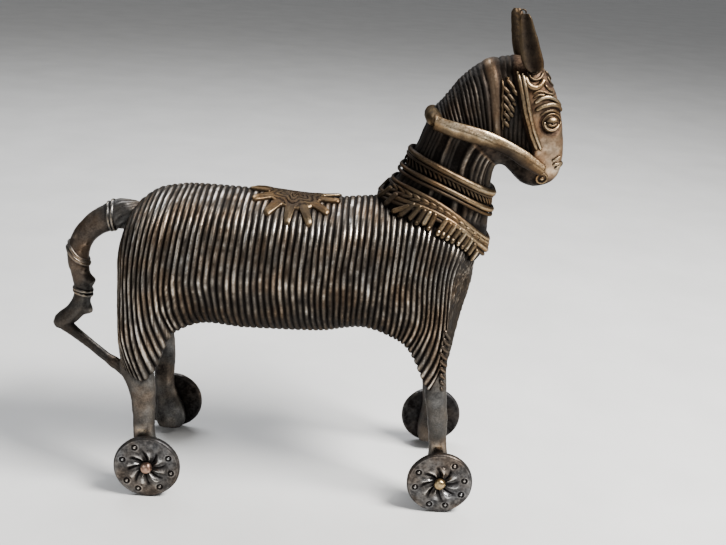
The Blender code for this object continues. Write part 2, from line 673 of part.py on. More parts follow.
# Tassels: the tops of those on one side in x and z, their length, how far they lean back, and along each
# the share of its length, the half height and the half depth
TASSEL_TOPS = [(36.0, 139.8), (42.5, 139.6), (48.0, 137.8), (53.0, 135.6), (58.0, 133.0), (63.0, 130.0)]
TASSEL_TOPS += [(67.6, 125.4), (71.6, 120.2)]
TASSEL_LENGTH = 9.0
TASSEL_LEAN = 27.0
TASSEL_SECTIONS = [(0.16, 1.3, 1.1), (0.45, 1.5, 1.2), (0.75, 1.6, 1.2), (1.0, 1.4, 1.0)]


def band_ring(throat_place, nape_place, rise, lift, surface):
    """A ring laid on the neck, level with its slices at front and back and higher at the sides."""
    found = []
    for step in range(BAND_POINTS):
        turn = 2 * math.pi * step / BAND_POINTS
        place = nape_place + (throat_place - nape_place) * (1 - math.cos(turn)) / 2
        point = head_slice(place, BAND_POINTS)[step]
        other = head_slice(place + 0.5, BAND_POINTS)[step]
        side_share = abs(math.sin(turn)) ** 1.5
        raised = point + (other - point).normalized() * rise * MM * side_share
        found.append(surface.nearest(raised, lift))
    return found


def make_bands(model, bronze, surface, hosts):
    """Wax cords wrapped round the neck, the lowest where the neck meets the shoulders."""
    for name, (throat_place, nape_place, rise, radius) in BANDS.items():
        ring = band_ring(throat_place, nape_place, rise, radius * 0.45, surface)
        band = wire(name, ring, radius, model, bronze, cyclic=True)
        for host in hosts:
            boolean(band, host)


def make_braid(model, bronze, surface, hosts):
    """The flat plaited band between the two collar cords."""
    rows = []
    for line, lift in BRAID_SECTION:
        rows.append(band_ring(*BRAID_LINES[line], lift, surface))
    mesh = bmesh.new()
    rows = [[mesh.verts.new(point) for point in row] for row in rows]
    for place, row in enumerate(rows):
        following = rows[(place + 1) % len(rows)]
        for step in range(BAND_POINTS):
            after = (step + 1) % BAND_POINTS
            mesh.faces.new((row[step], row[after], following[after], following[step]))
    bmesh.ops.recalc_face_normals(mesh, faces=mesh.faces)
    braid = add_object("collar_braid", mesh, model, bronze)
    for host in hosts:
        boolean(braid, host)


def make_tassel(name, top, side, surface, model, bronze, hosts):
    """One stubby tassel that hangs from the lower cord and leans back."""
    x, z = top
    lean = math.radians(TASSEL_LEAN)
    points = []
    for share, _, _ in TASSEL_SECTIONS:
        back = TASSEL_LENGTH * share * math.sin(lean)
        down = TASSEL_LENGTH * share * math.cos(lean)
        points.append(surface.beside(x - back, z - down, side, 0.5)[0])
    across = surface.beside(x, z - TASSEL_LENGTH / 2, side)[1]
    _, heights, depths = zip(*TASSEL_SECTIONS)
    mesh = oval_sweep(points, across, heights, depths, sides=6)
    tassel = add_object(name, mesh, model, bronze)
    for host in hosts:
        boolean(tassel, host)


# Saddle rosette

ROSETTE_CENTRE_X = -6.0
ROSETTE_RAYS = 13
ROSETTE_RADIUS = 20.5
ROSETTE_DISC = 12.5
ROSETTE_THICKNESS = 1.3
RAY_PARTS = (0.17, 0.22, 0.5, 0.78, 0.83)
RAY_HALF_WIDTH = 0.3


def rosette_rows(mesh, surface, level):
    """The centre and the rings of points of one face of the rosette, level millimetres above the back."""
    def over(x, y):
        return mesh.verts.new((at(x, y, 0).x, y * MM, surface.above(x, y) + level * MM))

    inner = []
    outer = []
    for ray in range(ROSETTE_RAYS):
        for part in RAY_PARTS:
            turn = (ray + part) / ROSETTE_RAYS * 2 * math.pi
            edge = ROSETTE_RADIUS if abs(part - 0.5) < RAY_HALF_WIDTH else ROSETTE_DISC
            inner.append(over(ROSETTE_CENTRE_X + ROSETTE_DISC * 0.6 * math.cos(turn),
                              ROSETTE_DISC * 0.6 * math.sin(turn)))
            outer.append(over(ROSETTE_CENTRE_X + edge * math.cos(turn), edge * math.sin(turn)))
    return over(ROSETTE_CENTRE_X, 0), inner, outer


def make_rosette(model, bronze, surface, hosts):
    """The thin sun-shaped plate that lies over the back as a saddle."""
    mesh = bmesh.new()
    faces = [rosette_rows(mesh, surface, level) for level in (-0.8, GAP + ROSETTE_THICKNESS)]
    total = len(faces[0][1])
    for step in range(total):
        after = (step + 1) % total
        for centre, inner, outer in faces:
            mesh.faces.new((centre, inner[step], inner[after]))
            mesh.faces.new((inner[step], inner[after], outer[after], outer[step]))
        low, high = faces[0][2], faces[1][2]
        mesh.faces.new((low[step], low[after], high[after], high[step]))
    bmesh.ops.recalc_face_normals(mesh, faces=mesh.faces)
    rosette = add_object("saddle_rosette", mesh, model, bronze, smooth_angle=30)
    for host in hosts:
        boolean(rosette, host)


def main():
    clear_scene()
    model, cutters = make_collections()
    bronze, worn, dark, copper, clay = (finish(name, *look) for name, look in FINISHES.items())

    body = body_mesh()
    neck_form = head_mesh(0.0, HEAD_END)
    body_surface = Surface(body)
    head_surface = Surface(neck_form)
    shoulder_surface = Surface(body, neck_form)
    body_grown = add_object("body_grown", grown(body, GAP), cutters)
    neck_grown = add_object("neck_grown", grown(neck_form, GAP), cutters)
    body.free()
    neck_form.free()

    make_torso(model, cutters, bronze)
    make_clay_core(model, clay)
    make_neck_and_head(model, bronze, body_grown)
    for side_name, side in SIDES.items():
        ends = (("front", FRONT_SHANK, WHEELBASE / 2), ("hind", HIND_SHANK, -WHEELBASE / 2))
        for end, shank, axle_x in ends:
            place = f"{end}_{side_name}"
            make_leg(f"leg_{place}", shank, side, axle_x, model, cutters, dark, body_grown)
            make_wheel(f"wheel_{place}", side, axle_x, model, dark)
            make_rivet(f"rivet_{place}", side, axle_x, model, copper)
        make_ear(f"ear_{side_name}", side, model, bronze, neck_grown)
        make_eye(f"eye_{side_name}", side, head_surface, model, bronze, neck_grown)
        for label, (route, radius, lift) in LAID_WIRES.items():
            name = f"{label}_{side_name}"
            laid_wire(name, route, side, head_surface, radius, lift, model, worn, neck_grown)
        make_rein(f"rein_{side_name}", side, model, worn, neck_grown)
        for number, top in enumerate(TASSEL_TOPS, start=1):
            name = f"tassel_{side_name}_{number}"
            make_tassel(name, top, side, shoulder_surface, model, worn, [body_grown, neck_grown])
    make_ear_loop(model, worn)
    tail = make_tail(model, bronze, body_grown)
    make_tail_strut(model, cutters, dark, body_grown, tail)
    make_nape_knob(model, worn, neck_grown)
    make_bands(model, bronze, head_surface, [neck_grown, body_grown])
    make_braid(model, bronze, head_surface, [neck_grown, body_grown])
    make_rosette(model, bronze, body_surface, [body_grown])


main()
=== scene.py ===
"""Looks of the wheeled bronze horse: thread-wound casting, bridle, collar, tail and stamped wheels."""

import itertools
import json
import math

import bpy
import numpy as np
from mathutils import Matrix, Vector
from mathutils.bvhtree import BVHTree


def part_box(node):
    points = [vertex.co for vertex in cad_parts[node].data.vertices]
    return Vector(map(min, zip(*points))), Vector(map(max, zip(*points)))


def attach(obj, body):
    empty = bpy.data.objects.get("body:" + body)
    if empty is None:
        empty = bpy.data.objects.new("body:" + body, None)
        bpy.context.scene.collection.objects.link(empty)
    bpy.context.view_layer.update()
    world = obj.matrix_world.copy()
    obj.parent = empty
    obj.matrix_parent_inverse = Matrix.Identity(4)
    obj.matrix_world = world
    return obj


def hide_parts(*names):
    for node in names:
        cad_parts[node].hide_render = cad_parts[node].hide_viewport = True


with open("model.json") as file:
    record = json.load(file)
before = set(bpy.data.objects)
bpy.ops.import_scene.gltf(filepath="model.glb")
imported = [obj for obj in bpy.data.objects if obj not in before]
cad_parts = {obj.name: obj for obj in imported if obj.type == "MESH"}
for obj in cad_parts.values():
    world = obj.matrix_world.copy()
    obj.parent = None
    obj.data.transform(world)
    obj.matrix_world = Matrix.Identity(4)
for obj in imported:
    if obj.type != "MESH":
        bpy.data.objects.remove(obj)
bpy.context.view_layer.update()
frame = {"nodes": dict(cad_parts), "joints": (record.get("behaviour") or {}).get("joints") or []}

# Lengths are in millimetres and MM turns them into metres. In the tables and routes x is counted from the
# line midway between the two axles, y to the horse's left and z up from the ground.
MM = 0.001
JOINTS = {joint["name"]: Vector(joint["pos_m"]) / MM for joint in frame["joints"]}
AXLES_X = sum(place.x for place in JOINTS.values()) / len(JOINTS)
SHIFT = np.array([AXLES_X, 0.0, 0.0])
AXLE_HEIGHT = JOINTS["front_right_roll"].z
HALF_WHEELBASE = JOINTS["front_right_roll"].x - AXLES_X
HALF_TRACK = abs(JOINTS["front_right_roll"].y)
SIDES = {"right": -1, "left": 1}


def box_mm(node):
    """Lowest and highest corner of a CAD node in the tables' millimetres."""
    low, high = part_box(node)
    return np.array(low) / MM - SHIFT, np.array(high) / MM - SHIFT


WHEEL_LOW, WHEEL_HIGH = box_mm("wheel_front_left")
WHEEL_RADIUS = (WHEEL_HIGH[2] - WHEEL_LOW[2]) / 2
WHEEL_THICKNESS = WHEEL_HIGH[1] - WHEEL_LOW[1]

# Rings of the body, one thread apart for each unit of the first number, from the rump to the chest. A ring
# runs over the back, down each flank to a tip, and back between the legs or under the belly.
# thread, top x z, side x y z, outer x y z, bend x z, tip x y z, inner y, underside x z
BODY_RINGS = [
    (-4, -82, 101, -81, 12, 95, -79.4, 24.5, 76, -79, 68, -77.4, 26.6, 61, 21.8, -81, 92),
    (-2, -81.4, 113, -80.2, 20, 101, -78.6, 28, 79, -77.4, 68, -74.8, 28.2, 59.5, 19.8, -79, 84.5),
    (0, -77.5, 125, -77.6, 25, 105, -77.3, 30, 81, -75.6, 68.5, -71.2, 28.6, 56.6, 19, -75, 80.5),
    (2.2, -71.6, 131.4, -74.2, 27.2, 106, -73.3, 30.3, 83, -71.4, 69.5, -67.2, 28.6, 55.6, 18.7, -70.4, 79.4),
    (3.7, -67.6, 134.4, -71.1, 27.8, 106, -70.3, 30.4, 85, -67.6, 72, -62.9, 28, 60.6, 18.3, -67, 78.8),
    (6, -61.5, 136.6, -66.2, 28.2, 106, -65.4, 30, 88, -62.6, 77.5, -59.4, 26.6, 69.5, 17.4, -62, 78),
    (8, -56, 137.6, -61.3, 28.2, 106, -60.6, 29, 91.6, -58.6, 83.5, -56, 23.5, 76.5, 15, -58.4, 77),
    (9, -53.5, 138, -58.8, 28.2, 106, -58.4, 28.2, 92, -57, 84.2, -54.6, 23, 77.6, 14, -56.5, 76.6),
    (12, -46, 138.2, -50.8, 28.2, 106, -50, 26.2, 91.2, -49, 84.3, -47.8, 17, 79, 9.6, -49, 75.6),
    (20, -24.5, 137.6, -27.8, 28, 106, -27.2, 24.8, 90.7, -26.4, 83.6, -25.5, 15.2, 78.2, 8.6, -26, 75.2),
    (32, 7.5, 135.6, 5.2, 28, 106, 5.8, 24.8, 91, 6.6, 84.1, 7.5, 15.2, 78.8, 8.6, 7, 75.6),
    (42, 34, 138.2, 31.9, 28.2, 107, 31.2, 25.6, 93.2, 31, 86.7, 30.5, 17, 81.8, 9.6, 31, 77.6),
    (46, 45, 139, 41.5, 28, 108, 41.6, 28, 96, 41.2, 87, 40.2, 22.6, 80.5, 14, 41, 79.5),
    (50, 55.5, 137, 51, 27, 109.5, 51.4, 28.8, 93, 49.8, 83.5, 46.8, 24.6, 76.5, 18, 50, 80.5),
    (52.7, 62, 134, 56.8, 25.8, 110, 56.6, 29.2, 90, 54.2, 79.5, 50.9, 26.6, 70.5, 19, 55, 82),
    (54.5, 66.5, 130, 60.4, 24.7, 110, 60, 28.8, 87, 58, 74, 53.8, 27.6, 64.4, 19.6, 58.5, 83),
    (56, 69.8, 126.8, 63.1, 23.4, 109, 62.4, 28.4, 85, 60.8, 71, 56.4, 28, 60, 20, 61, 84),
    (59, 74, 119, 67.4, 18.6, 106, 63.8, 27.8, 83, 63.2, 69, 60.4, 28, 57.4, 20.4, 65.4, 86.4),
    (62, 75.4, 111, 70, 13, 101, 64.6, 26, 81, 64.8, 69, 64.0, 27, 57.6, 21.6, 69.6, 90.5),
]

# Slices of the neck and the head. Each runs from the throat side to the crest side of the outline.
# slice, throat x z, crest x z, half width, squareness
HEAD_SLICES = [
    (0.0, 69.0, 104.0, 24.0, 128.0, 21.0, 2.1),
    (1.0, 78.4, 116.0, 31.5, 139.5, 18.6, 2.2),
    (2.0, 79.8, 129.0, 37.0, 147.5, 16.4, 2.2),
    (3.0, 79.4, 142.0, 42.6, 158.6, 14.4, 2.2),
    (4.0, 79.2, 150.4, 46.4, 168.5, 13.4, 2.3),
    (5.0, 80.0, 154.4, 49.6, 176.6, 13.0, 2.3),
    (6.0, 81.0, 155.6, 54.6, 183.2, 12.8, 2.3),
    (7.0, 82.4, 155.6, 62.0, 193.0, 12.6, 2.3),
    (8.0, 84.0, 154.8, 71.0, 200.2, 12.4, 2.4),
    (9.0, 85.8, 153.2, 82.0, 203.2, 12.4, 2.5),
    (10.0, 87.6, 151.4, 92.4, 201.0, 12.4, 2.7),
    (11.0, 89.6, 149.6, 99.4, 193.8, 12.2, 2.9),
    (12.0, 91.6, 148.4, 104.2, 183.6, 11.8, 3.0),
    (13.0, 93.6, 147.8, 107.0, 172.4, 11.2, 3.0),
    (14.0, 96.0, 147.4, 108.3, 163.0, 10.2, 2.9),
    (15.0, 99.0, 147.8, 107.6, 155.4, 8.8, 2.6),
    (16.0, 101.8, 149.0, 105.2, 151.4, 5.4, 2.2),
]

# Numbers, curves and noise


def rows_at(table, places):
    """The rows of a table at places between its rows, on a smooth curve through them."""
    rows = np.array(table)
    knots = rows[:, 0]
    places = np.atleast_1d(places)
    first = np.clip(np.searchsorted(knots, places, side="right") - 1, 0, len(knots) - 2)
    slopes = np.gradient(rows, knots, axis=0)
    step = (knots[first + 1] - knots[first])[:, None]
    t = (places - knots[first])[:, None] / step
    ease = t * t * (3 - 2 * t)
    start = t * (1 - t) ** 2 * step
    end = t * t * (t - 1) * step
    between = rows[first] * (1 - ease) + rows[first + 1] * ease
    return between + slopes[first] * start + slopes[first + 1] * end


def spans(points, count, closed=False):
    """Points on the smooth curve through the given ones, with count to each span."""
    points = np.array(points, float)
    counts = [count] * (len(points) - (0 if closed else 1)) if np.isscalar(count) else count
    if closed:
        ends = np.vstack([points[-1:], points, points[:2]])
    else:
        ends = np.vstack([2 * points[0] - points[1], points, 2 * points[-1] - points[-2]])
    found = []
    for span, steps in enumerate(counts):
        a, b, c, d = ends[span:span + 4]
        t = (np.arange(steps) / steps)[:, None]
        bend = (2 * a - 5 * b + 4 * c - d) * t * t + (3 * b - a - 3 * c + d) * t ** 3
        found.append((2 * b + (c - a) * t + bend) / 2)
    if not closed:
        found.append(points[-1:])
    return np.vstack(found)


def even(points, count, closed=False):
    """The same curve with its points equally far apart."""
    if closed:
        points = np.vstack([points, points[:1]])
    run = np.concatenate([[0.0], np.cumsum(np.linalg.norm(np.diff(points, axis=0), axis=1))])
    wanted = np.linspace(0.0, run[-1], count + 1)[:-1] if closed else np.linspace(0.0, run[-1], count)
    return np.stack([np.interp(wanted, run, points[:, axis]) for axis in range(points.shape[1])], axis=1)


def ramp(values, low, high):
    """Smoothly from 0 at low to 1 at high."""
    t = np.clip((values - low) / (high - low), 0.0, 1.0)
    return t * t * (3 - 2 * t)


def bell(distance, width):
    """1 at no distance, falling away smoothly over about the width."""
    return np.exp(-(distance / width) ** 2)


def spot(x, z, middle, size):
    """A soft oval spot, 1 in its middle."""
    return np.exp(-(((x - middle[0]) / size[0]) ** 2 + ((z - middle[1]) / size[1]) ** 2))


def signed_power(values, power):
    """The power of each value's size, with the value's sign."""
    return np.sign(values) * np.abs(values) ** power


def circle(count):
    """Angles evenly spaced round a full turn."""
    return np.linspace(0, 2 * np.pi, count, endpoint=False)


def profile(table, places):
    """Values at places between those of a table of places and values."""
    return np.interp(places, *zip(*table))


def xyz(x, y, z):
    """Points from their coordinates, any of which may be a single number."""
    return np.stack(np.broadcast_arrays(x, y, z), axis=-1)


def unit(vectors):
    return vectors / np.maximum(np.linalg.norm(vectors, axis=-1, keepdims=True), 1e-9)


def noise(points, size, seed):
    """Smooth noise from -1 to 1, with lumps of the given size."""
    scaled = np.asarray(points) / size
    cell = np.floor(scaled).astype(np.int64)
    part = scaled - cell
    part = part * part * (3 - 2 * part)
    total = np.zeros(scaled.shape[:-1])
    for corner in itertools.product((0, 1), repeat=3):
        weight = np.prod(np.where(corner, part, 1 - part), axis=-1)
        x, y, z = np.moveaxis(cell + np.array(corner), -1, 0)
        mixed = (x * 73856093) ^ (y * 19349663) ^ (z * 83492791) ^ (seed * 40503 + 977)
        mixed = ((mixed ^ (mixed >> 13)) * 1274126177) & 0x7FFFFFFF
        mixed = mixed ^ (mixed >> 15)
        total += weight * ((mixed & 0xFFFF) / 0xFFFF)
    return total * 2 - 1


def noise_on(first, second, seed):
    """Smooth noise over two measures, such as the number of a thread and the run along it."""
    return noise(xyz(first, second, 0.0), 1.0, seed)


def rounded(share, reach=0.5):
    """Height of a round thread across its width, from 0 at reach from its middle to 1 at its crest."""
    return np.sqrt(np.clip(1 - ((share - 0.5) / reach) ** 2, 0.0, 1.0))


# Meshes


def grid_normals(points):
    """Outward normals of a grid of rings that are closed along the second axis."""
    along = np.gradient(points, axis=0)
    around = np.roll(points, -1, axis=1) - np.roll(points, 1, axis=1)
    normals = unit(np.cross(around, along))
    outward = points - points.mean(axis=1, keepdims=True)
    return normals if (normals * outward).sum() > 0 else -normals


def raised(points, height):
    """The same grid with each point moved out along its normal."""
    return points + grid_normals(points) * height[..., None]


def linked(name, data):
    """A new object in the scene."""
    item = bpy.data.objects.new(name, data)
    bpy.context.scene.collection.objects.link(item)
    return item


class Shape:
    """Surfaces gathered into one piece, with how worn each point is, mixed on some pieces with painted
    highlight and shade: 0 in a hollow, 1 on a crest.
    """

    def __init__(self):
        self.points = []
        self.wear = []
        self.faces = []
        self.total = 0

    def grid(self, points, wear, closed=True, caps=True):
        """Rings joined in a row, with each end closed by a fan to the middle of its ring."""
        rows, columns = points.shape[:2]
        wear = np.broadcast_to(wear, (rows, columns))
        index = np.arange(rows * columns).reshape(rows, columns)
        following = np.roll(index, -1, axis=1) if closed else index[:, 1:]
        here = index if closed else index[:, :-1]
        quads = np.stack([here[:-1], following[:-1], following[1:], here[1:]], axis=-1).reshape(-1, 4)
        faces = quads.tolist()
        self.points.append(points.reshape(-1, 3))
        self.wear.append(wear.reshape(-1))
        total = rows * columns
        for row in (0, -1) if closed and caps else ():
            self.points.append(points[row].mean(axis=0)[None])
            self.wear.append([wear[row].mean()])
            ring = index[row] if row else index[row][::-1]
            faces += [[a, b, total] for a, b in zip(ring.tolist(), np.roll(ring, -1).tolist())]
            total += 1
        self.faces += [[corner + self.total for corner in face] for face in faces]
        self.total += total

    def tube(self, line, radius, outward=None, sides=8, flat=1.0, wear=(0.25, 1.0), taper=True):
        """A round thread along a line. Outward says which way its worn crest faces at each point."""
        line = np.asarray(line, float)
        radii = np.broadcast_to(np.asarray(radius, float).reshape(-1), (len(line),)).copy()
        tangent = unit(np.gradient(line, axis=0))
        if outward is None:
            outward = np.broadcast_to(np.array([0.0, 0.0, 1.0]), line.shape)
        outward = unit(outward - (outward * tangent).sum(axis=1, keepdims=True) * tangent)
        across = np.cross(tangent, outward)
        if taper:
            for place, share in ((0, 0.45), (1, 0.85)):
                radii[place] *= share
                radii[-1 - place] *= share
        turn = 2 * np.pi * np.arange(sides) / sides
        spread = np.cos(turn)[None, :, None] * outward[:, None] * flat
        spread = spread + np.sin(turn)[None, :, None] * across[:, None]
        bottom, top = wear
        top = np.reshape(top, (-1, 1))
        crest = bottom + (top - bottom) * (0.5 + 0.5 * np.cos(turn[None, :])) ** 2.4
        self.grid(line[:, None] + spread * radii[:, None, None], crest)

    def made(self, name, material, *nodes, slot=None, body="horse", golden=None):
        """The finished object, riding on its body and standing for its CAD nodes.

        Its slot argument is not used. Golden says how bare of patina each point is, lowered as painted shade
        on the head's jaw.
        """
        data = bpy.data.meshes.new(name)
        points = (np.vstack(self.points) + SHIFT) * MM
        data.from_pydata(points.tolist(), [], self.faces)
        # This value holds wear and, on some pieces, painted highlight and shade.
        mark = data.attributes.new("wear", "FLOAT", "POINT")
        mark.data.foreach_set("value", np.clip(np.concatenate(self.wear), 0, 1).astype(np.float32))
        if golden is not None:
            bare_and_shade = data.attributes.new("golden", "FLOAT", "POINT")
            amount = np.zeros(self.total, np.float32)
            amount[:golden.size] = np.clip(golden.reshape(-1), 0, 1)
            bare_and_shade.data.foreach_set("value", amount)
        data.validate()
        data.shade_smooth()
        data.materials.append(material)
        piece = linked(name, data)
        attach(piece, body)
        if nodes:
            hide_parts(*nodes)


# How far out and how high up a line starts that looks for the horse
FAR_OUT = 80.0
HIGH_UP = 300.0


class Surface:
    """The outside of some grids, to lay threads on."""

    def __init__(self, *grids):
        self.trees = []
        for points in grids:
            rows, columns = points.shape[:2]
            index = np.arange(rows * columns).reshape(rows, columns)
            following = np.roll(index, -1, axis=1)
            quads = np.stack([index[:-1], following[:-1], following[1:], index[1:]], axis=-1)
            tree = BVHTree.FromPolygons(points.reshape(-1, 3).tolist(), quads.reshape(-1, 4).tolist())
            self.trees.append(tree)

    def cast(self, start, way):
        """The first point met along a line, and its normal, over all the grids."""
        best = None
        for tree in self.trees:
            place, normal, _, distance = tree.ray_cast(Vector(start), Vector(way))
            if place and (best is None or distance < best[2]):
                best = (np.array(place), np.array(normal), distance)
        if best is None:
            return None
        facing = best[1] if best[1] @ np.array(way) < 0 else -best[1]
        return best[0], facing

    def beside(self, route, side, lift=0.0):
        """Points on one side at each x and z of a route, lifted off the surface, with their normals."""
        points, normals = [], []
        for x, z in route:
            met = self.cast((x, side * FAR_OUT, z), (0.0, -side, 0.0))
            if met:
                points.append(met[0] + met[1] * lift)
                normals.append(met[1])
        return np.array(points), np.array(normals)

    def height(self, x, y):
        met = self.cast((x, y, HIGH_UP), (0.0, 0.0, -1.0))
        return met[0][2]

    def nearest(self, points):
        """The surface points nearest to the given ones, with their normals."""
        found, normals = [], []
        for point in points:
            best = min((tree.find_nearest(Vector(point)) for tree in self.trees), key=lambda met: met[3])
            found.append(np.array(best[0]))
            normals.append(np.array(best[1]))
        return np.array(found), np.array(normals)


# Materials


class Nodes:
    """A short way to write a node tree."""

    def __init__(self, name):
        self.material = bpy.data.materials.new(name)
        self.material.use_nodes = True
        self.tree = self.material.node_tree
        self.shader = self.tree.nodes["Principled BSDF"]

    def add(self, kind, **values):
        node = self.tree.nodes.new("ShaderNode" + kind)
        for name, value in values.items():
            setattr(node, name, value)
        return node

    def put(self, socket, value):
        if isinstance(value, bpy.types.NodeSocket):
            self.tree.links.new(value, socket)
        else:
            socket.default_value = value

    def shade(self, name, value):
        self.put(self.shader.inputs[name], value)

    def place(self):
        return self.add("TexCoord").outputs["Object"]

    def noise(self, size, detail=3.0, rough=0.55):
        node = self.add("TexNoise")
        self.put(node.inputs["Vector"], self.place())
        self.put(node.inputs["Scale"], 1 / (size * MM))
        self.put(node.inputs["Detail"], detail)
        self.put(node.inputs["Roughness"], rough)
        return node.outputs["Fac"]

    def pits(self, size):
        node = self.add("TexVoronoi")
        self.put(node.inputs["Vector"], self.place())
        self.put(node.inputs["Scale"], 1 / (size * MM))
        return node.outputs["Distance"]

    def math(self, operation, a, b=0.0, clamp=False):
        node = self.add("Math", operation=operation, use_clamp=clamp)
        self.put(node.inputs[0], a)
        self.put(node.inputs[1], b)
        return node.outputs[0]

    def swing(self, value, amount):
        """A noise from 0 to 1 turned into one about zero."""
        return self.math("MULTIPLY", self.math("SUBTRACT", value, 0.5), amount)

    def between(self, value, low, high, to_low=0.0, to_high=1.0):
        node = self.add("MapRange")
        for name, amount in (("Value", value), ("From Min", low), ("From Max", high),
                             ("To Min", to_low), ("To Max", to_high)):
            self.put(node.inputs[name], amount)
        return node.outputs["Result"]

    def ramp(self, value, stops):
        node = self.add("ValToRGB")
        elements = node.color_ramp.elements
        while len(elements) < len(stops):
            elements.new(0.5)
        for element, (place, colour) in zip(elements, stops):
            element.position = place
            element.color = (*colour, 1.0)
        self.put(node.inputs["Fac"], value)
        return node.outputs["Color"]

    def mix(self, share, a, b, blend="MIX"):
        node = self.add("Mix", data_type="RGBA", blend_type=blend)
        self.put(node.inputs[0], share)
        self.put(node.inputs[6], a if isinstance(a, bpy.types.NodeSocket) else (*a, 1.0))
        self.put(node.inputs[7], b if isinstance(b, bpy.types.NodeSocket) else (*b, 1.0))
        return node.outputs[2]

    def bump(self, height, strength, distance, normal=None):
        node = self.add("Bump")
        self.put(node.inputs["Height"], height)
        self.put(node.inputs["Strength"], strength)
        self.put(node.inputs["Distance"], distance * MM)
        if normal:
            self.put(node.inputs["Normal"], normal)
        return node.outputs["Normal"]


# Colours of the bronze from the bottom of a hollow to a rubbed crest; the dark end also colours painted shade
PATINA = [(0.0, (0.005, 0.004, 0.0035)), (0.35, (0.022, 0.018, 0.015)), (0.62, (0.075, 0.062, 0.050)),
          (0.84, (0.21, 0.180, 0.150)), (1.0, (0.52, 0.47, 0.41))]
GOLDEN = [(0.0, (0.006, 0.004, 0.003)), (0.3, (0.028, 0.019, 0.012)), (0.6, (0.098, 0.068, 0.040)),
          (0.85, (0.27, 0.195, 0.115)), (1.0, (0.55, 0.44, 0.30))]
BARE = [(0.0, (0.022, 0.013, 0.009)), (0.35, (0.15, 0.096, 0.058)), (0.7, (0.37, 0.265, 0.175)),
        (1.0, (0.60, 0.48, 0.36))]
SATIN = [(0.0, (0.006, 0.005, 0.005)), (0.4, (0.060, 0.055, 0.050)), (0.75, (0.17, 0.155, 0.140)),
         (1.0, (0.42, 0.33, 0.22))]
SLATE = [(0.0, (0.005, 0.004, 0.004)), (0.4, (0.042, 0.039, 0.038)), (0.75, (0.18, 0.168, 0.160)),
         (1.0, (0.52, 0.49, 0.46))]
COPPER = [(0.0, (0.022, 0.018, 0.016)), (0.45, (0.20, 0.115, 0.085)), (0.8, (0.42, 0.27, 0.205)),
          (1.0, (0.68, 0.52, 0.42))]
BRASS = [(0.0, (0.06, 0.040, 0.020)), (0.45, (0.24, 0.165, 0.085)), (0.8, (0.50, 0.37, 0.20)),
         (1.0, (0.74, 0.62, 0.42))]
CLAY = [(0.3, (0.16, 0.08, 0.05)), (0.6, (0.36, 0.20, 0.12)), (0.9, (0.50, 0.31, 0.20))]
PALE = [(0.3, (0.60, 0.60, 0.59)), (0.7, (0.66, 0.66, 0.65))]

# An oxidised skin mirrors less at a glancing angle than clean metal
EDGE_TINT = (0.45, 0.44, 0.43, 1.0)

# The casting is browner in some places and cooler in others
TINTS = [(0.36, (1.0, 0.82, 0.66)), (0.50, (0.95, 0.93, 0.90)), (0.64, (0.80, 0.87, 0.95))]


def bronze(name, stops, rough=(0.60, 0.29), patches=0.432, grain=0.35, pitted=0.32):
    """Cast metal with a patina in its hollows, painted shade in crevices and between parts, rubbed crests,
    cloudy patches and a grainy skin.
    """
    nodes = Nodes(name)
    wear = nodes.add("Attribute", attribute_name="wear").outputs["Fac"]
    golden = nodes.add("Attribute", attribute_name="golden").outputs["Fac"]
    cloud = nodes.noise(9.0, 4.0, 0.6)
    speck = nodes.noise(0.8, 3.0, 0.65)
    shift = nodes.math("ADD", nodes.swing(cloud, patches), nodes.swing(speck, patches))
    level = nodes.math("ADD", wear, shift, clamp=True)
    # An ambient occlusion node darkens the colour and dims the specular in crevices and between parts: partly
    # patina, partly painted shade.
    hollow = nodes.add("AmbientOcclusion", samples=6)
    nodes.put(hollow.inputs["Distance"], 3.0 * MM)
    open_share = nodes.between(hollow.outputs["AO"], 0.30, 0.90, 0.12, 1.0)
    level = nodes.math("MULTIPLY", level, open_share)
    colour = nodes.mix(golden, nodes.ramp(level, stops), nodes.ramp(level, BARE))
    tint = nodes.ramp(nodes.noise(13.0, 3.0), TINTS)
    colour = nodes.mix(0.75, colour, tint, "MULTIPLY")
    nodes.shade("Base Color", colour)
    nodes.shade("Metallic", nodes.between(level, 0.05, 0.5, 0.35, 1.0))
    nodes.shade("Specular IOR Level", nodes.between(level, 0.0, 0.35, 0.06, 0.5))
    nodes.shade("Specular Tint", EDGE_TINT)
    streak = nodes.swing(speck, 0.30)
    roughness = nodes.between(level, 0.1, 0.95, rough[0], rough[1])
    nodes.shade("Roughness", nodes.math("ADD", roughness, streak, clamp=True))
    skin = nodes.bump(nodes.noise(0.5, 3.0, 0.65), grain, 0.12)
    pit = nodes.between(nodes.pits(1.7), 0.05, 0.35)
    nodes.shade("Normal", nodes.bump(pit, pitted, 0.10, skin))
    return nodes.material


def fired_clay():
    nodes = Nodes("fired_clay")
    speck = nodes.noise(1.6, 4.0, 0.6)
    colour = nodes.ramp(speck, CLAY)
    nodes.shade("Base Color", colour)
    nodes.shade("Roughness", nodes.between(speck, 0.3, 0.8, 0.95, 0.8))
    nodes.shade("Normal", nodes.bump(nodes.noise(0.6), 0.6, 0.3))
    return nodes.material


def floor_material():
    nodes = Nodes("pale_floor")
    cloud = nodes.noise(60.0, 3.0)
    nodes.shade("Base Color", nodes.ramp(cloud, PALE))
    nodes.shade("Roughness", 0.7)
    return nodes.material


RIDGED = bronze("ridged_bronze", PATINA)
WORN = bronze("worn_bronze", GOLDEN, rough=(0.56, 0.30))
SMOOTH = bronze("smooth_bronze", SATIN, rough=(0.46, 0.26), patches=0.624, grain=0.25, pitted=0.25)
WHEEL = bronze("wheel_bronze", SLATE, rough=(0.50, 0.25), grain=0.45, pitted=0.35)
RIVETS = {"hind": bronze("copper", COPPER, rough=(0.45, 0.26), grain=0.12, pitted=0.15),
          "front": bronze("brassy_copper", BRASS, rough=(0.42, 0.24), grain=0.12, pitted=0.15)}

# The wound body

# Rows of points to a thread, and points to each span of a ring on the flanks and underneath
THREAD_STEPS = 9
FLANK_STEPS = 12
UNDER_STEPS = 9
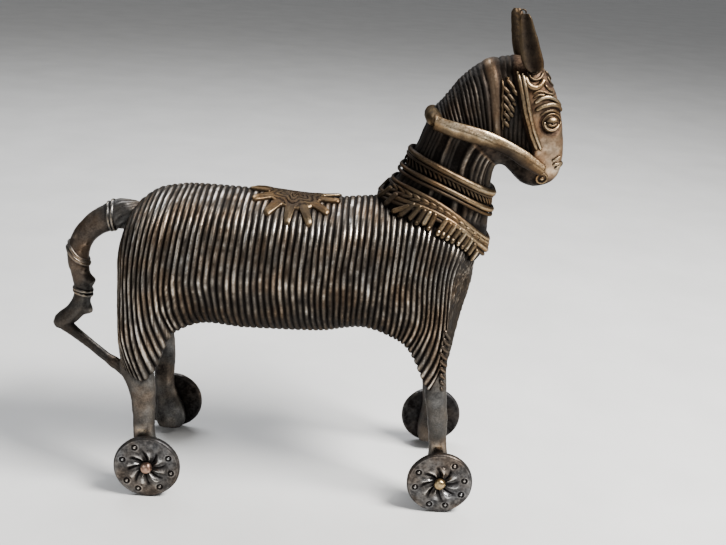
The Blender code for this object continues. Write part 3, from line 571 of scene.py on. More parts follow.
# Half the width of a thread as a share of the step between threads, how far its crest stands out and how
# deep the groove beside it is
THREAD_REACH = 0.44
CREST_LIFT = 0.30
THREAD_DEPTH = 1.15
# A tip this far below the underside belongs to a leg
LEG_REACH = 20.0
# Threads over which the hind leg ends, the front leg begins and the plain chest begins
HIND_LEG_ENDS = (8.0, 13.0)
FRONT_LEG_BEGINS = (42.0, 46.0)
CHEST_BEGINS = (56.9, 57.6)
# Places round a ring, from 0 at the back to 7 under the belly: the back, the plain inside of a leg, and
# where the chest's skin stops being granular
BACK = (0.3, 1.2)
INSIDE_LEG = (5.15, 5.8)
CHEST_SKIN_ENDS = (2.6, 3.2)
RING_SPANS = 14


def body_rings(places):
    """The rings of the body at places along it, and at which span of its ring each point lies."""
    rows = rows_at(BODY_RINGS, places).T[1:]
    top_x, top_z, side_x, side_y, side_z, outer_x, outer_y, outer_z, bend_x, bend_z = rows[:10]
    tip_x, tip_y, tip_z, inner_y, under_x, under_z = rows[10:]
    zero = np.zeros_like(top_x)
    shoulder = (top_x * 0.6 + side_x * 0.4, side_y * 0.74, side_z + (top_z - side_z) * 0.7)
    on_leg = np.clip((under_z - tip_z) / LEG_REACH, 0, 1)
    outward = 0.6 + 0.25 * on_leg
    bend = (bend_x, outer_y * outward + tip_y * (1 - outward), bend_z)
    inner_x = (tip_x * 0.55 + under_x * 0.45) * (1 - on_leg) + bend_x * on_leg
    inner = (inner_x, inner_y, tip_z * 0.5 + under_z * 0.5)
    side, outer, tip = (side_x, side_y, side_z), (outer_x, outer_y, outer_z), (tip_x, tip_y, tip_z)
    half = [shoulder, side, outer, bend, tip, inner]
    mirrored = [(x, -y, z) for x, y, z in reversed(half)]
    controls = np.array([(top_x, zero, top_z), *half, (under_x, zero, under_z), *mirrored])
    counts = [FLANK_STEPS] * 5 + [UNDER_STEPS] * 4 + [FLANK_STEPS] * 5
    rings = spans(controls.reshape(RING_SPANS, -1), counts, closed=True).reshape(sum(counts), 3, len(places))
    along = np.concatenate([span + np.arange(count) / count for span, count in enumerate(counts)])
    return np.moveaxis(rings, 2, 0), along


def wound_body():
    """The barrel and the tops of the legs, wound with one thread beside another."""
    first, last = BODY_RINGS[0][0], BODY_RINGS[-1][0]
    places = np.linspace(first, last, int((last - first) * THREAD_STEPS) + 1)
    base, along = body_rings(places)
    normals = grid_normals(base)
    from_top = np.minimum(along, RING_SPANS - along)[None, :]
    run = np.cumsum(np.linalg.norm(np.roll(base, -1, axis=1) - base, axis=2), axis=1)
    thread = np.broadcast_to(places[:, None], run.shape)
    drift = noise_on(thread / 3.0, run / 16.0, 3) * 0.13 + noise_on(thread / 1.5, run / 7.0, 5) * 0.06
    phase = thread + drift
    number = np.floor(phase)
    crest = rounded(phase - number, THREAD_REACH)
    body = 1 + 0.09 * noise_on(number * 3.7, run / 9.0, 7)
    rubbed = 0.84 + 0.20 * noise_on(number * 5.3, run / 7.0, 11)
    rubbed = rubbed + 0.22 * noise_on(number * 5.3, run / 1.3, 12)
    leg = 1 - ramp(thread, *HIND_LEG_ENDS) * (1 - ramp(thread, *FRONT_LEG_BEGINS))
    inside = leg * ramp(from_top, *INSIDE_LEG)
    granular = ramp(thread, *CHEST_BEGINS) * ramp(from_top, 0.4, 1.2)
    under = ramp(from_top, 4.3, 5.0) * (0.55 - 0.2 * leg) + 0.4 * (1 - ramp(from_top, *BACK))
    relief = (1 - 0.92 * inside) * (1 - 0.90 * granular) * (1 - under)
    height = CREST_LIFT - THREAD_DEPTH * (1 - crest * body)
    grains = noise(base, 0.95, 13) * 0.42 + noise(base, 1.9, 17) * 0.25
    on_chest = granular * (1 - ramp(from_top, *CHEST_SKIN_ENDS))
    moved = height * relief + grains * on_chest - 0.25 * inside - 0.5 * granular + 0.08 * noise(base, 1.2, 19)
    points = base + normals * moved[..., None]
    smooth = np.maximum(inside, granular)
    # Threads are darker where they face down.
    facing_down = 0.42 * ramp(-normals[..., 2], -0.05, 0.5)
    wear = crest ** 1.9 * body * rubbed * (1 - smooth) * (1 - facing_down)
    wear = wear + smooth * (0.38 + 0.12 * on_chest + (0.2 + 0.35 * on_chest) * noise(base, 0.95, 13))
    shape = Shape()
    shape.grid(points, wear, caps=False)
    add_end(shape, points[0], -1.0, 1.0)
    add_end(shape, points[-1], 1.0, 0.15)
    shape.made("wound_body", RIDGED, "torso_shell")
    return base


END_STRIPS = 21
END_THREADS = 3
END_BULGE = 2.2


def add_end(shape, ring, way, grooves):
    """What closes the rump or the chest, between the outer and the inner line of an end ring.

    Way is 1 towards the front and -1 towards the rear. Grooves is 1 for threads and near 0 for a plain skin.
    """
    tip = 5 * FLANK_STEPS
    outer = ring[np.arange(-tip, tip + 1) % len(ring)]
    inner = even(ring[np.arange(tip, len(ring) - tip + 1)], len(outer))[::-1]
    share = np.linspace(0.0, 1.0, END_STRIPS)[:, None, None]
    swell = np.sin(np.pi * share)
    gap = np.linalg.norm(outer - inner, axis=1)[None, :, None]
    bulge = swell * np.minimum(END_BULGE, gap * 0.3)
    crest = rounded(share * END_THREADS % 1.0) * np.ones((1, len(outer), 1))
    crest[0] = crest[-1] = 0.4
    depth = bulge - 0.5 * (1 - crest) * swell ** 0.5 * grooves
    forward = np.array([way, 0.0, 0.0])
    points = outer[None] * (1 - share) + inner[None] * share + depth * forward
    grains = noise(points, 0.95, 13)
    points = points + (1 - grooves) * 0.3 * (grains * swell[..., 0])[..., None] * forward
    wear = crest[..., 0] * 0.7 * grooves + (1 - grooves) * (0.45 + 0.3 * grains)
    shape.grid(points, wear, closed=False)


body_base = wound_body()

# The neck and the head

# Rows of points to a slice of the head, and points round each
HEAD_STEPS = 24
HEAD_AROUND = 250
# Middle of the right or left rein, and x and z along the two threads of the cheek strap
REIN_ROUTE = [(51.4, 12.2, 174.4), (57.5, 14.4, 172.9), (66.0, 15.8, 171.3), (74.5, 16.4, 169.3),
              (83.2, 15.4, 165.8), (92.3, 13.2, 160.4), (98.6, 11.4, 156.6)]
CHEEK_REAR = [(83.6, 197.0), (86.2, 188.2), (89.0, 179.3), (92.0, 171.5), (95.0, 165.4)]
CHEEK_FRONT = [(85.6, 196.4), (87.4, 190.6), (89.6, 183.0), (92.2, 175.3), (96.8, 165.4)]
EYE = (100.2, 177.2)
# Edges of the strands of the mane where they meet the rein, and the height of the rein there
MANE_FOOT = 174.0
MANE_EDGES = np.concatenate([np.arange(44.0, 73.6, 1.62), [75.2, 79.4, 82.0, 84.6, 87.2, 90.0]])
# How far back each millimetre of height puts a strand of the mane, at each x
MANE_SLOPE = [(55.0, 0.36), (66.0, 0.29), (78.0, 0.11), (90.0, 0.05)]
# Where the golden strand meets the rein, and where the dark strands of the poll begin
GOLDEN_STRAND = 77.2
POLL = 79.0
# Slices where the mane, the neck's strands and the face begin, and where the neck's strands end
MANE_BEGINS = 4.4
NECK_BEGINS = (1.9, 2.1)
FACE_BEGINS = (5.0, 5.6)
NECK_ENDS = (5.3, 6.0)
# Strands of the neck below the rein: where each begins, as a share of the way from throat to nape, and how
# far it stands out
NECK_STRANDS = [(0.0, 0.7), (0.10, 0.6), (0.14, 1.0), (0.20, 0.9), (0.267, 0.9), (0.33, 0.05), (0.38, 1.1),
                (0.466, 0.05), (0.57, 0.6), (0.61, 0.5), (0.65, 1.0), (0.71, 0.05), (0.79, 0.5), (0.83, 0.45),
                (0.87, 0.5), (0.91, 0.45), (0.955, 0.5)]
NECK_EDGES = np.array([edge for edge, _ in NECK_STRANDS] + [1.0])
NECK_LEVELS = np.array([level for _, level in NECK_STRANDS])
# Points that an outline is drawn with before they are spaced evenly
OUTLINE_POINTS = 1440


def head_rings(places, around=HEAD_AROUND):
    """Rounded rings of the neck and the head at places along them."""
    rings = []
    for _, throat_x, throat_z, crest_x, crest_z, half_width, squareness in rows_at(HEAD_SLICES, places):
        middle = np.array([(throat_x + crest_x) / 2, 0.0, (throat_z + crest_z) / 2])
        reach = np.array([crest_x, 0.0, crest_z]) - middle
        turn = circle(OUTLINE_POINTS)
        along = signed_power(np.cos(turn), 2 / squareness)
        across = signed_power(np.sin(turn), 2 / squareness)
        ring = middle + reach * along[:, None] + np.array([0.0, half_width, 0.0]) * across[:, None]
        rings.append(even(ring, around, closed=True))
    return np.array(rings)


def strand(values, edges):
    """Height of the strand that each value falls on, with its number."""
    number = np.clip(np.searchsorted(edges, values) - 1, 0, len(edges) - 2)
    share = (values - edges[number]) / (edges[number + 1] - edges[number])
    return rounded(np.clip(share, 0.0, 1.0)), number


def head_relief(base, places):
    """How far each point of the head stands out, and how worn it is."""
    x, y, z = np.moveaxis(base, -1, 0)
    place = np.broadcast_to(places[:, None], x.shape)
    rein = spans(REIN_ROUTE, 8)
    rein_z = np.interp(x, rein[:, 0], rein[:, 2])
    cheek = spans(CHEEK_REAR, 8)[::-1]
    cheek_x = np.interp(z, cheek[:, 1], cheek[:, 0])
    above = ramp(z - rein_z, -1.0, 1.2) * (place > MANE_BEGINS)
    mane = above * (1 - ramp(x - cheek_x, -2.4, -0.6))

    foot = x + (z - MANE_FOOT) * profile(MANE_SLOPE, x) + 0.35 * noise(base * [0.3, 1.0, 1.0], 9.0, 23)
    mane_crest, mane_number = strand(foot, MANE_EDGES)
    mane_body = 0.95 + 0.3 * noise_on(mane_number * 7.1, z / 9.0, 29)
    herring = ramp(foot, POLL, POLL + 0.8)

    chord = rows_at(HEAD_SLICES, places)
    throat = chord[:, None, 1:3]
    crest = chord[:, None, 3:5]
    flat = np.stack([x, z], axis=-1)
    along = ((flat - throat) * (crest - throat)).sum(-1) / ((crest - throat) ** 2).sum(-1)
    below = (1 - above) * (1 - ramp(place, *NECK_ENDS)) * ramp(place, *NECK_BEGINS)
    neck_crest, neck_number = strand(along + 0.012 * noise(base, 6.0, 31), NECK_EDGES)
    neck_body = NECK_LEVELS[neck_number] * (1 + 0.15 * noise(base, 5.0, 37))
    throat_side = ramp(along, 0.06, 0.12)

    crest_line = 1 - 0.75 * bell(y, 3.4)
    relief = mane * (1 - herring) * (0.15 - 1.25 * crest_line * (1 - mane_crest * mane_body))
    poll_crest = rounded((foot * 0.52 + 0.3) % 1.0)
    relief = relief - mane * herring * (0.45 + 0.55 * (1 - poll_crest))
    relief = relief + below * (0.2 - (0.35 + 1.0 * throat_side) * (1 - neck_crest * neck_body))
    eye_reach = np.hypot(x - EYE[0], z - EYE[1])
    relief = relief - 0.9 * bell(eye_reach - 3.4, 1.6) * (np.abs(y) > 5)
    relief = relief + 0.25 * spot(x, z, (103.0, 168.0), (4.0, 5.0)) - 0.45
    relief = relief + 0.10 * noise(base, 1.4, 41) + 0.15 * noise(base, 4.0, 43)

    face = (1 - np.clip(mane + below, 0, 1)) * ramp(place, *FACE_BEGINS)
    # The face below the rein is darkened, in wear and in bareness, as painted shadow under the jaw.
    jaw_shadow = face * (1 - ramp(z - rein_z, -5.0, 1.0))
    streaks = 0.75 + 0.5 * noise_on(foot * 2.0, z / 7.0, 173)
    wear = mane * (1 - herring) * (mane_crest ** 2.2) * mane_body * streaks * 0.56
    wear = wear + mane * herring * 0.36 * poll_crest ** 2 + below * neck_crest ** 2.0 * neck_body * 0.74
    golden = bell(foot - GOLDEN_STRAND, 1.9) * mane
    muzzle = spot(x, z, (104.0, 155.0), (3.4, 4.4))
    skin = 0.60 - 0.54 * jaw_shadow + 0.24 * noise(base, 2.6, 47) + 0.12 * noise(base, 0.9, 179)
    wear = wear + golden * 0.12 + face * skin + muzzle * 0.35
    socket = 0.7 * bell(eye_reach - 4.8, 1.2)
    forehead = 0.42 * face * ramp(z, 179.6, 182.6)
    poll = 0.30 * face * ramp(z, 194.0, 198.0) * (1 - ramp(x, 86.0, 90.0))
    # A darker strip just behind the rear cheek thread is the strap's painted shadow.
    groove = 0.75 * bell(x - cheek_x + 1.4, 1.0) * above
    wear = wear - socket - groove - forehead - poll
    bare_and_shade = np.clip(face * (1 - 0.9 * jaw_shadow) + golden * 0.5 + muzzle, 0, 1)
    return relief, wear, bare_and_shade


def neck_and_head():
    """One skin over the neck and the head, with the strands of the mane and of the neck."""
    first, last = HEAD_SLICES[0][0], HEAD_SLICES[-1][0]
    places = np.linspace(first, last, int((last - first) * HEAD_STEPS) + 1)
    base = head_rings(places)
    relief, wear, bare_and_shade = head_relief(base, places)
    points = raised(base, relief)
    shape = Shape()
    shape.grid(points, wear)
    shape.made("neck_and_head", RIDGED, "neck", "head", golden=bare_and_shade)
    return base, points


head_base, head_skin = neck_and_head()
HEAD = Surface(head_skin)
NECK = Surface(head_base[::3, ::3])
BODY = Surface(body_base[::4, ::2])
SHOULDERS = Surface(body_base[::4, ::2], head_base[::3, ::3])


def lay(shape, surface, route, side, radius, lift=0.3, per_span=6, **look):
    """A thread laid on a surface along a route of x and z."""
    points, normals = surface.beside(spans(route, per_span), side, lift * radius)
    if len(points) > 3:
        shape.tube(points, radius, normals, **look)


def both_sides(name, material, fill, nodes=(), slot=None):
    """One piece for each side of the horse, made by the same function."""
    for side_name, side in SIDES.items():
        shape = Shape()
        fill(shape, side)
        shape.made(f"{name}_{side_name}", material, *[f"{node}_{side_name}" for node in nodes], slot=slot)


# Bridle and face

# The rein at shares of its length: half its height, how far its crease is turned from its middle, how far its
# painted highlight is turned up, and how light it is, darker after its middle where a painted shadow falls at
# its twist
REIN_HALF_HEIGHT = [(0.0, 3.0), (0.2, 3.4), (0.45, 3.4), (0.6, 3.1), (0.8, 3.3), (1.0, 2.6)]
REIN_CREASE = [(0.0, 0.35), (0.3, 0.15), (0.5, -0.25), (0.75, 0.30), (1.0, 0.2)]
REIN_HIGHLIGHT_TURN = [(0.0, 0.9), (0.42, 0.9), (0.58, 0.35), (1.0, 0.25)]
REIN_TONE = [(0.0, 0.48), (0.40, 0.48), (0.56, 0.30), (0.84, 0.34), (1.0, 0.55)]
REIN_HALF_THICKNESS = 1.55
REIN_STEPS = 70


def fill_rein(shape, side):
    """The thick strap from the nape to the muzzle, with a crease along its middle."""
    line = even(spans([(x, side * y, z) for x, y, z in REIN_ROUTE], 10), REIN_STEPS)
    share = np.linspace(0, 1, REIN_STEPS)
    height = profile(REIN_HALF_HEIGHT, share) * (1 + 0.05 * noise(line, 5.0, 53))
    tangent = unit(np.gradient(line, axis=0))
    sideways = np.array([0.0, side, 0.0])
    out = unit(sideways - (tangent @ sideways)[:, None] * tangent)
    up = np.cross(tangent, out) * side
    up = up * np.sign(up[:, 2:3])
    turn = circle(28)
    roll = profile(REIN_CREASE, share)[:, None]
    lift = signed_power(np.cos(turn), 1.15)
    depth = np.sin(turn) * REIN_HALF_THICKNESS
    crease = 0.45 * bell(turn - np.pi / 2 + roll, 0.35)
    rings = line[:, None] + up[:, None] * (lift[None, :] * height[:, None])[..., None]
    rings = rings + out[:, None] * (depth[None, :] + crease)[..., None]
    # The side turned up is painted lighter and the side turned down darker: painted highlight and shade.
    facing = signed_power(np.cos(turn - profile(REIN_HIGHLIGHT_TURN, share)[:, None]), 1.4)
    wear = profile(REIN_TONE, share)[:, None] + 0.48 * facing + 0.15 * crease + 0.10 * noise(rings, 2.5, 59)
    shape.grid(rings, wear)


both_sides("rein_strap", WORN, fill_rein, ["rein"])

NAPE_MIDDLE = np.array([51.4, 0.0, 175.2])
NAPE_RADIUS = 3.6


def nape_roll():
    """The wound roll at the nape that both reins start from."""
    turn = circle(48)
    across = np.linspace(-1, 1, 61)
    sizes = NAPE_RADIUS * np.sqrt(np.clip(1 - np.abs(across) ** 3.0, 0.02, 1))
    half_width = box_mm("nape_knob")[1][1] - 0.2
    rings = xyz(np.cos(turn) * sizes[:, None], across[:, None] * half_width, np.sin(turn) * sizes[:, None])
    rings = rings + NAPE_MIDDLE
    rings = raised(rings, 0.10 * noise(rings, 1.6, 61) + 0.2 * noise(rings, 4.0, 67))
    shape = Shape()
    shape.grid(rings, 0.55 + 0.2 * noise(rings, 2.5, 71))
    shape.made("nape_roll", WORN, "nape_knob")


nape_roll()


def fill_cheek_straps(shape, side):
    """Two threads side by side from the ear to the muzzle, with their painted shadow on the head's skin
    beside them.
    """
    lay(shape, HEAD, CHEEK_REAR, side, 1.0, lift=0.5, wear=(0.1, 0.85))
    lay(shape, HEAD, CHEEK_FRONT, side, 0.95, lift=0.6, wear=(0.15, 1.0))


both_sides("cheek_threads", WORN, fill_cheek_straps, ["cheek_strap"])

# Threads of the brow: x and z along each, its radius and how bright its crest is
BROWS = [([(91.7, 185.1), (94.5, 187.1), (97.8, 187.5), (101.4, 185.7), (103.6, 183.2)], 0.95, 1.0),
         ([(92.5, 182.1), (95.0, 183.8), (99.0, 184.7), (102.2, 183.7), (104.0, 181.4)], 1.05, 0.85),
         ([(94.6, 180.2), (97.2, 181.8), (100.4, 182.2), (103.2, 180.6)], 0.6, 0.7)]
CRESCENTS = [([(86.6, 195.6), (88.4, 192.3), (91.3, 191.2), (93.6, 192.4), (94.9, 194.6)], 1.3, 0.9),
             ([(87.6, 197.0), (89.4, 194.8), (91.5, 194.3), (93.4, 195.2), (94.6, 197.2)], 0.75, 0.6),
             ([(87.7, 199.4), (89.2, 197.4), (91.0, 196.9), (92.6, 197.6), (93.9, 199.2)], 0.7, 0.6)]
FOREHEAD = [[(96.4, 195.4), (98.2, 192.9), (99.8, 191.4)], [(95.4, 192.6), (97.4, 190.6), (99.4, 189.6)],
            [(94.6, 190.0), (97.4, 188.9), (100.4, 188.6)], [(90.6, 188.9), (93.0, 189.9), (95.6, 189.6)],
            [(91.0, 187.2), (93.2, 188.4), (96.0, 188.4)], [(95.8, 197.4), (97.6, 195.4), (98.8, 193.8)],
            [(99.2, 193.6), (100.6, 191.6), (101.6, 189.4)]]


def fill_brows(shape, side):
    """Brow arcs, the nested crescents under the ear and the strokes on the forehead."""
    for route, radius, bright in BROWS + CRESCENTS:
        lay(shape, HEAD, route, side, radius, lift=0.2, wear=(0.0, bright))
    for route in FOREHEAD:
        lay(shape, HEAD, route, side, 0.6, lift=0.15, wear=(0.0, 0.75))


both_sides("brow_threads", WORN, fill_brows, ["brow_wire"])

EYE_LEAN = math.radians(-6)


def almond(width, height):
    """A closed almond with points at its two ends, turned a little down at the front."""
    turn = circle(22)
    x = width * np.cos(turn)
    z = height * np.sin(turn) * (0.55 + 0.45 * np.abs(np.sin(turn)))
    return np.stack([EYE[0] + x * math.cos(EYE_LEAN) - z * math.sin(EYE_LEAN),
                     EYE[1] + x * math.sin(EYE_LEAN) + z * math.cos(EYE_LEAN)], axis=1)


def fill_eye(shape, side):
    """The ball of the eye, its lids and the ring round its socket."""
    (middle,), (normal,) = HEAD.beside([EYE], side)
    outline = almond(4.2, 3.6)
    points, normals = HEAD.beside(np.vstack([outline, outline[:2]]), side, 0.1)
    shape.tube(points, 0.5, normals, taper=False, wear=(0.0, 0.85))
    lids = almond(3.4, 2.6)
    points, normals = HEAD.beside(lids[len(lids) // 2:], side, 1.0)
    shape.tube(points, 0.6, normals, wear=(0.1, 1.0))
    turn = circle(36)
    across = unit(np.cross(normal, [0.0, 0.0, 1.0]))
    up = np.cross(across, normal)
    slit = -0.35 + 0.25 * np.cos(turn) ** 2
    rings, wear = [], []
    for share in np.linspace(0.05, 1.0, 16):
        ring = middle + np.outer(np.cos(turn) * 3.1 * share, across)
        ring = ring + np.outer(np.sin(turn) * 2.4 * share + 0.3, up)
        dome = 1.8 * math.sqrt(1 - share ** 2) - 0.3
        cut = bell(np.sin(turn) * share - slit, 0.14)
        rings.append(ring + normal * (dome - 0.7 * cut * (share < 0.95))[:, None])
        wear.append(0.80 - 0.75 * cut - 0.45 * share ** 3)
    shape.grid(np.array(rings)[::-1], np.array(wear)[::-1])


both_sides("eye_and_lids", WORN, fill_eye, ["eye"], "ridged_bronze")

# Strokes of the herringbone behind the cheek strap and over the nose: x and z along each
HERRING = [[(78.0, 191.4), (81.4, 187.2), (84.1, 183.6)], [(78.3, 187.9), (81.2, 184.0), (83.9, 180.6)],
           [(78.7, 184.4), (81.2, 181.3), (83.4, 178.7)], [(79.0, 181.2), (80.8, 179.0), (82.4, 177.2)],
           [(79.2, 194.6), (82.0, 190.8), (84.2, 187.6)], [(79.3, 178.0), (80.6, 176.2), (82.0, 174.4)]]
HERRING_EDGE = [(77.6, 193.8), (78.6, 183.6), (79.7, 173.2)]
NOSE_BAND = [[(102.8, 159.3), (105.0, 159.6), (107.0, 160.0)],
             [(103.9, 157.6), (105.8, 158.4), (107.5, 159.6)],
             [(102.2, 161.0), (104.0, 161.9), (105.7, 163.0)]]
NOSTRIL = np.array([99.0, 153.0])


def fill_strokes(shape, side):
    """Strokes behind the cheek strap and over the nose, and the nostril's ring and ball."""
    for route in HERRING:
        lay(shape, HEAD, route, side, 0.85, lift=0.45, wear=(0.0, 0.65))
    lay(shape, HEAD, HERRING_EDGE, side, 0.6, lift=0.4, wear=(0.0, 0.7))
    for route in NOSE_BAND:
        lay(shape, HEAD, route, side, 0.75, lift=0.2, wear=(0.0, 1.0))
    turn = np.linspace(0, 2 * np.pi, 17)
    ring = NOSTRIL + np.stack([2.3 * np.cos(turn), 2.2 * np.sin(turn)], axis=1)
    points, normals = HEAD.beside(ring, side)
    shape.tube(points, 0.6, normals, taper=False, wear=(0.0, 0.8))
    ball = [NOSTRIL + (step, 0.0) for step in (-0.9, -0.3, 0.3, 0.9)]
    points, normals = HEAD.beside(ball, side)
    shape.tube(points, 1.15, normals, wear=(0.0, 0.95))


both_sides("face_strokes", WORN, fill_strokes)

# Ears

# Ear leaf: x of its rear edge, x of its front edge, z, half thickness
EAR_LEAF = [(87.8, 92.6, 197.8, 1.4), (85.8, 93.8, 199.4, 2.5), (84.2, 93.4, 202.5, 2.7),
            (83.0, 91.6, 207.0, 2.5), (82.3, 89.8, 211.6, 2.2), (81.8, 88.0, 215.4, 1.9),
            (81.5, 86.6, 218.8, 1.5), (82.3, 85.2, 220.7, 0.8)]
# How far out the foot of an ear stands, at what height, and how it leans out above it
EAR_OUT = 11.0
EAR_FOOT = 198
EAR_LEAN = 0.05


def fill_ear(shape, side):
    """A cupped leaf with a thick rolled rim, open to the outside and the front."""
    rows = spans(EAR_LEAF, 9)
    turn = circle(44)
    rear, front, z, half = rows.T[:, :, None]
    across = np.cos(turn)
    outside = np.sin(turn) > 0
    body = np.sin(turn) * half * (0.72 + 0.28 * np.abs(across))
    cup = np.where(outside, -0.775 * half * np.clip(1 - (across / 0.78) ** 2, 0, 1), 0.0)
    x = (rear + front) / 2 + (front - rear) / 2 * across
    y = EAR_OUT + (z - EAR_FOOT) * EAR_LEAN + body + cup
    rings = xyz(x, side * y, z)
    rim = np.clip(np.abs(across) * 1.25 - 0.35, 0, 1)
    vein = rounded((z / 2.4 + 0.7 * across) % 1.0) * (1 - rim)
    wear = np.where(outside, 0.16 + 0.5 * rim, 0.10 + 0.3 * rim + 0.4 * vein ** 3)
    rings = raised(rings, 0.08 * noise(rings, 1.5, 73))
    shape.grid(rings, wear + 0.08 * noise(rings, 3.0, 79))


both_sides("ear_leaf", WORN, fill_ear, ["ear"], "ridged_bronze")


def ear_loop():
    """The little wire arch over the tip of the right ear."""
    turn = np.radians(np.linspace(-20, 200, 16))
    low, high = box_mm("ear_tip_loop")
    middle = (low + high) / 2
    line = xyz(82.75 + 1.2 * np.cos(turn), middle[1], 221.1 + 1.15 * np.sin(turn))
    shape = Shape()
    shape.tube(line, 0.34, line - middle, wear=(0.1, 0.6))
    shape.made("ear_wire_loop", WORN, "ear_tip_loop")


ear_loop()

# Collar

BAND_POINTS = 150
# Bands round the neck: slice at the throat, slice at the nape, rise at the sides, radius of the main thread
# and of the thin one, which lies a little lower
BANDS = {
    "neck_band_upper": (3.15, 3.13, 1.0, 1.7, 0.8),
    "neck_band_lower": (2.5, 2.5, 2.0, 1.3, 0.75),
    "collar_cord_upper": (1.46, 1.9, 4.4, 1.2, 0.7),
    "collar_cord_lower": (1.1, 1.1, 7.0, 1.5, 0.9),
}
THIN_THREAD_DROP = 0.17

# How far round a band each of its points lies, from 0 at the nape to 1 at the throat, and how much thinner
# and duller the band is there
BAND_TURN = 2 * np.pi * np.arange(BAND_POINTS) / BAND_POINTS
ROUND_NECK = 0.5 - 0.5 * np.cos(BAND_TURN)
NAPE_THINNING = 0.70 + 0.30 * ROUND_NECK ** 0.6
NAPE_DULLING = 0.40 + 0.60 * ROUND_NECK ** 0.8


def band_ring(throat_place, nape_place, rise, lift):
    """A ring laid over the neck and shoulders, higher at the sides by the rise."""
    places = nape_place + (throat_place - nape_place) * ROUND_NECK
    index = np.arange(BAND_POINTS)
    ring = head_rings(places, BAND_POINTS)[index, index]
    following = head_rings(places + 0.5, BAND_POINTS)[index, index]
    lifted = ring + unit(following - ring) * rise * (np.abs(np.sin(BAND_TURN)) ** 1.5)[:, None]
    on_neck, normals = NECK.nearest(lifted)
    normals = normals * np.sign(((on_neck - on_neck.mean(axis=0)) * normals).sum(axis=1, keepdims=True))
    laid = np.array([SHOULDERS.cast(point + normal * 25.0, -normal)[0]
                     for point, normal in zip(on_neck, normals)])
    smooth = sum(np.roll(laid, step, axis=0) for step in (-2, -1, 0, 1, 2)) / 5
    return smooth + normals * lift, normals


def closed_tube(shape, points, normals, radius, wear):
    """A thread that closes on itself."""
    index = np.arange(len(points) + 2) % len(points)
    radii = np.broadcast_to(radius, len(points))[index]
    shape.tube(points[index], radii, normals[index], taper=False, wear=(wear[0], wear[1][index]))


def collar_bands():
    """Each band is a main thread with a thin one beneath it."""
    for name, (throat, nape, rise, radius, thin) in BANDS.items():
        shape = Shape()
        points, normals = band_ring(throat, nape, rise, 0.2)
        size = radius * NAPE_THINNING * (1 + 0.12 * noise(points, 3.0, 89))
        lift = 0.35 * size + 0.15 * noise(points, 4.0, 83)
        closed_tube(shape, points + normals * lift[:, None], normals, size, wear=(0.0, 0.95 * NAPE_DULLING))
        lower = (throat - THIN_THREAD_DROP, nape - THIN_THREAD_DROP)
        points, normals = band_ring(*lower, rise, thin * 0.5 + 0.2)
        closed_tube(shape, points, normals, thin, wear=(0.0, 0.6 * NAPE_DULLING))
        shape.made(f"{name}_threads", WORN, name)


collar_bands()

# Points of the bands from one stroke to the next, and how far a stroke leans
STROKE_STEP = 3
STROKE_LEAN = 4


def short_strokes():
    """Short leaning strokes between the two neck bands."""
    shape = Shape()
    half = BAND_POINTS // 2
    low, normals = band_ring(2.64, 2.64, 1.9, 0.35)
    high, _ = band_ring(2.98, 2.96, 1.1, 0.35)
    for number in range(0, BAND_POINTS, STROKE_STEP):
        lean = STROKE_LEAN if number < half else -STROKE_LEAN
        ends = np.linspace(high[number], low[(number + lean) % BAND_POINTS], 6)
        bright = 0.75 * NAPE_DULLING[number]
        outward = np.broadcast_to(normals[number], ends.shape)
        shape.tube(ends, 0.62, outward, sides=6, wear=(0.0, bright))
    shape.made("neck_strokes", WORN)


short_strokes()

BRAID_LEAVES = 15
# Lines of the braid: slice at the throat, slice at the nape and rise at the sides
BRAID_LINES = {"low": (1.18, 1.24, 7.0), "middle": (1.28, 1.5, 5.7), "high": (1.38, 1.76, 4.4)}
# Points of the line that a leaf reaches back over, and how far from the throat and the nape leaves begin
LEAF_REACH = 6.5
THROAT_GAP = 2
NAPE_GAP = 10


def collar_braid():
    """A feather braid: leaves that lean back from its middle line, larger towards the chest."""
    lines = {name: band_ring(*place, 0.5) for name, place in BRAID_LINES.items()}
    middle, normals = lines["middle"]
    shape = Shape()
    bed = np.array([lines["low"][0], middle, lines["high"][0]]) - np.array([normals] * 3) * 0.8
    shape.grid(bed, 0.05, caps=False)
    half = BAND_POINTS // 2
    for side in (1, -1):
        for leaf in range(BRAID_LEAVES):
            share = leaf / BRAID_LEAVES
            start = side * (half - THROAT_GAP - share * (half - NAPE_GAP))
            for edge, bright in (("low", 0.75), ("high", 0.95)):
                points, edge_normals = lines[edge]
                root = int(round(start)) % BAND_POINTS
                tip = int(round(start - side * LEAF_REACH)) % BAND_POINTS
                line = np.linspace(middle[root], points[tip], 9)
                way = np.linspace(normals[root], edge_normals[tip], 9)
                line = line + way * (0.25 + 0.35 * np.sin(np.linspace(0, np.pi, 9)))[:, None]
                width = 1.25 * np.sin(np.linspace(0.5, np.pi - 0.3, 9)) * (1.0 - 0.35 * share)
                shape.tube(line, width, way, flat=0.8, wear=(0.0, bright * (1.0 - 0.55 * share)))
    shape.made("feather_braid", WORN, "collar_braid")


collar_braid()

# Bars of each tassel, from the nape to the chest: top x z, end x z, how bright
TASSEL_BARS = [
    [(36.6, 144.0, 31.4, 138.4, 0.45), (38.8, 142.6, 33.6, 136.8, 0.4)],
    [(44.4, 138.8, 36.4, 134.9, 0.65), (46.0, 140.2, 38.8, 133.2, 0.5)],
    [(48.6, 139.6, 43.2, 132.8, 0.6), (50.4, 138.4, 46.2, 131.0, 0.5)],
    [(52.5, 137.7, 49.2, 131.0, 1.0), (54.7, 137.1, 51.4, 129.3, 0.7)],
    [(59.7, 135.3, 55.3, 127.5, 1.0), (61.5, 133.7, 57.1, 126.5, 0.7)],
    [(63.5, 132.9, 59.2, 125.6, 1.0), (65.6, 131.2, 61.4, 124.4, 0.7)],
    [(68.0, 129.5, 64.1, 123.2, 1.0), (69.7, 127.6, 66.0, 121.8, 0.7)],
    [(71.0, 126.4, 67.6, 120.6, 1.0), (72.6, 123.9, 69.4, 118.8, 0.7), (73.9, 120.8, 70.9, 115.7, 0.95)],
]
BAR_RADIUS = 1.4


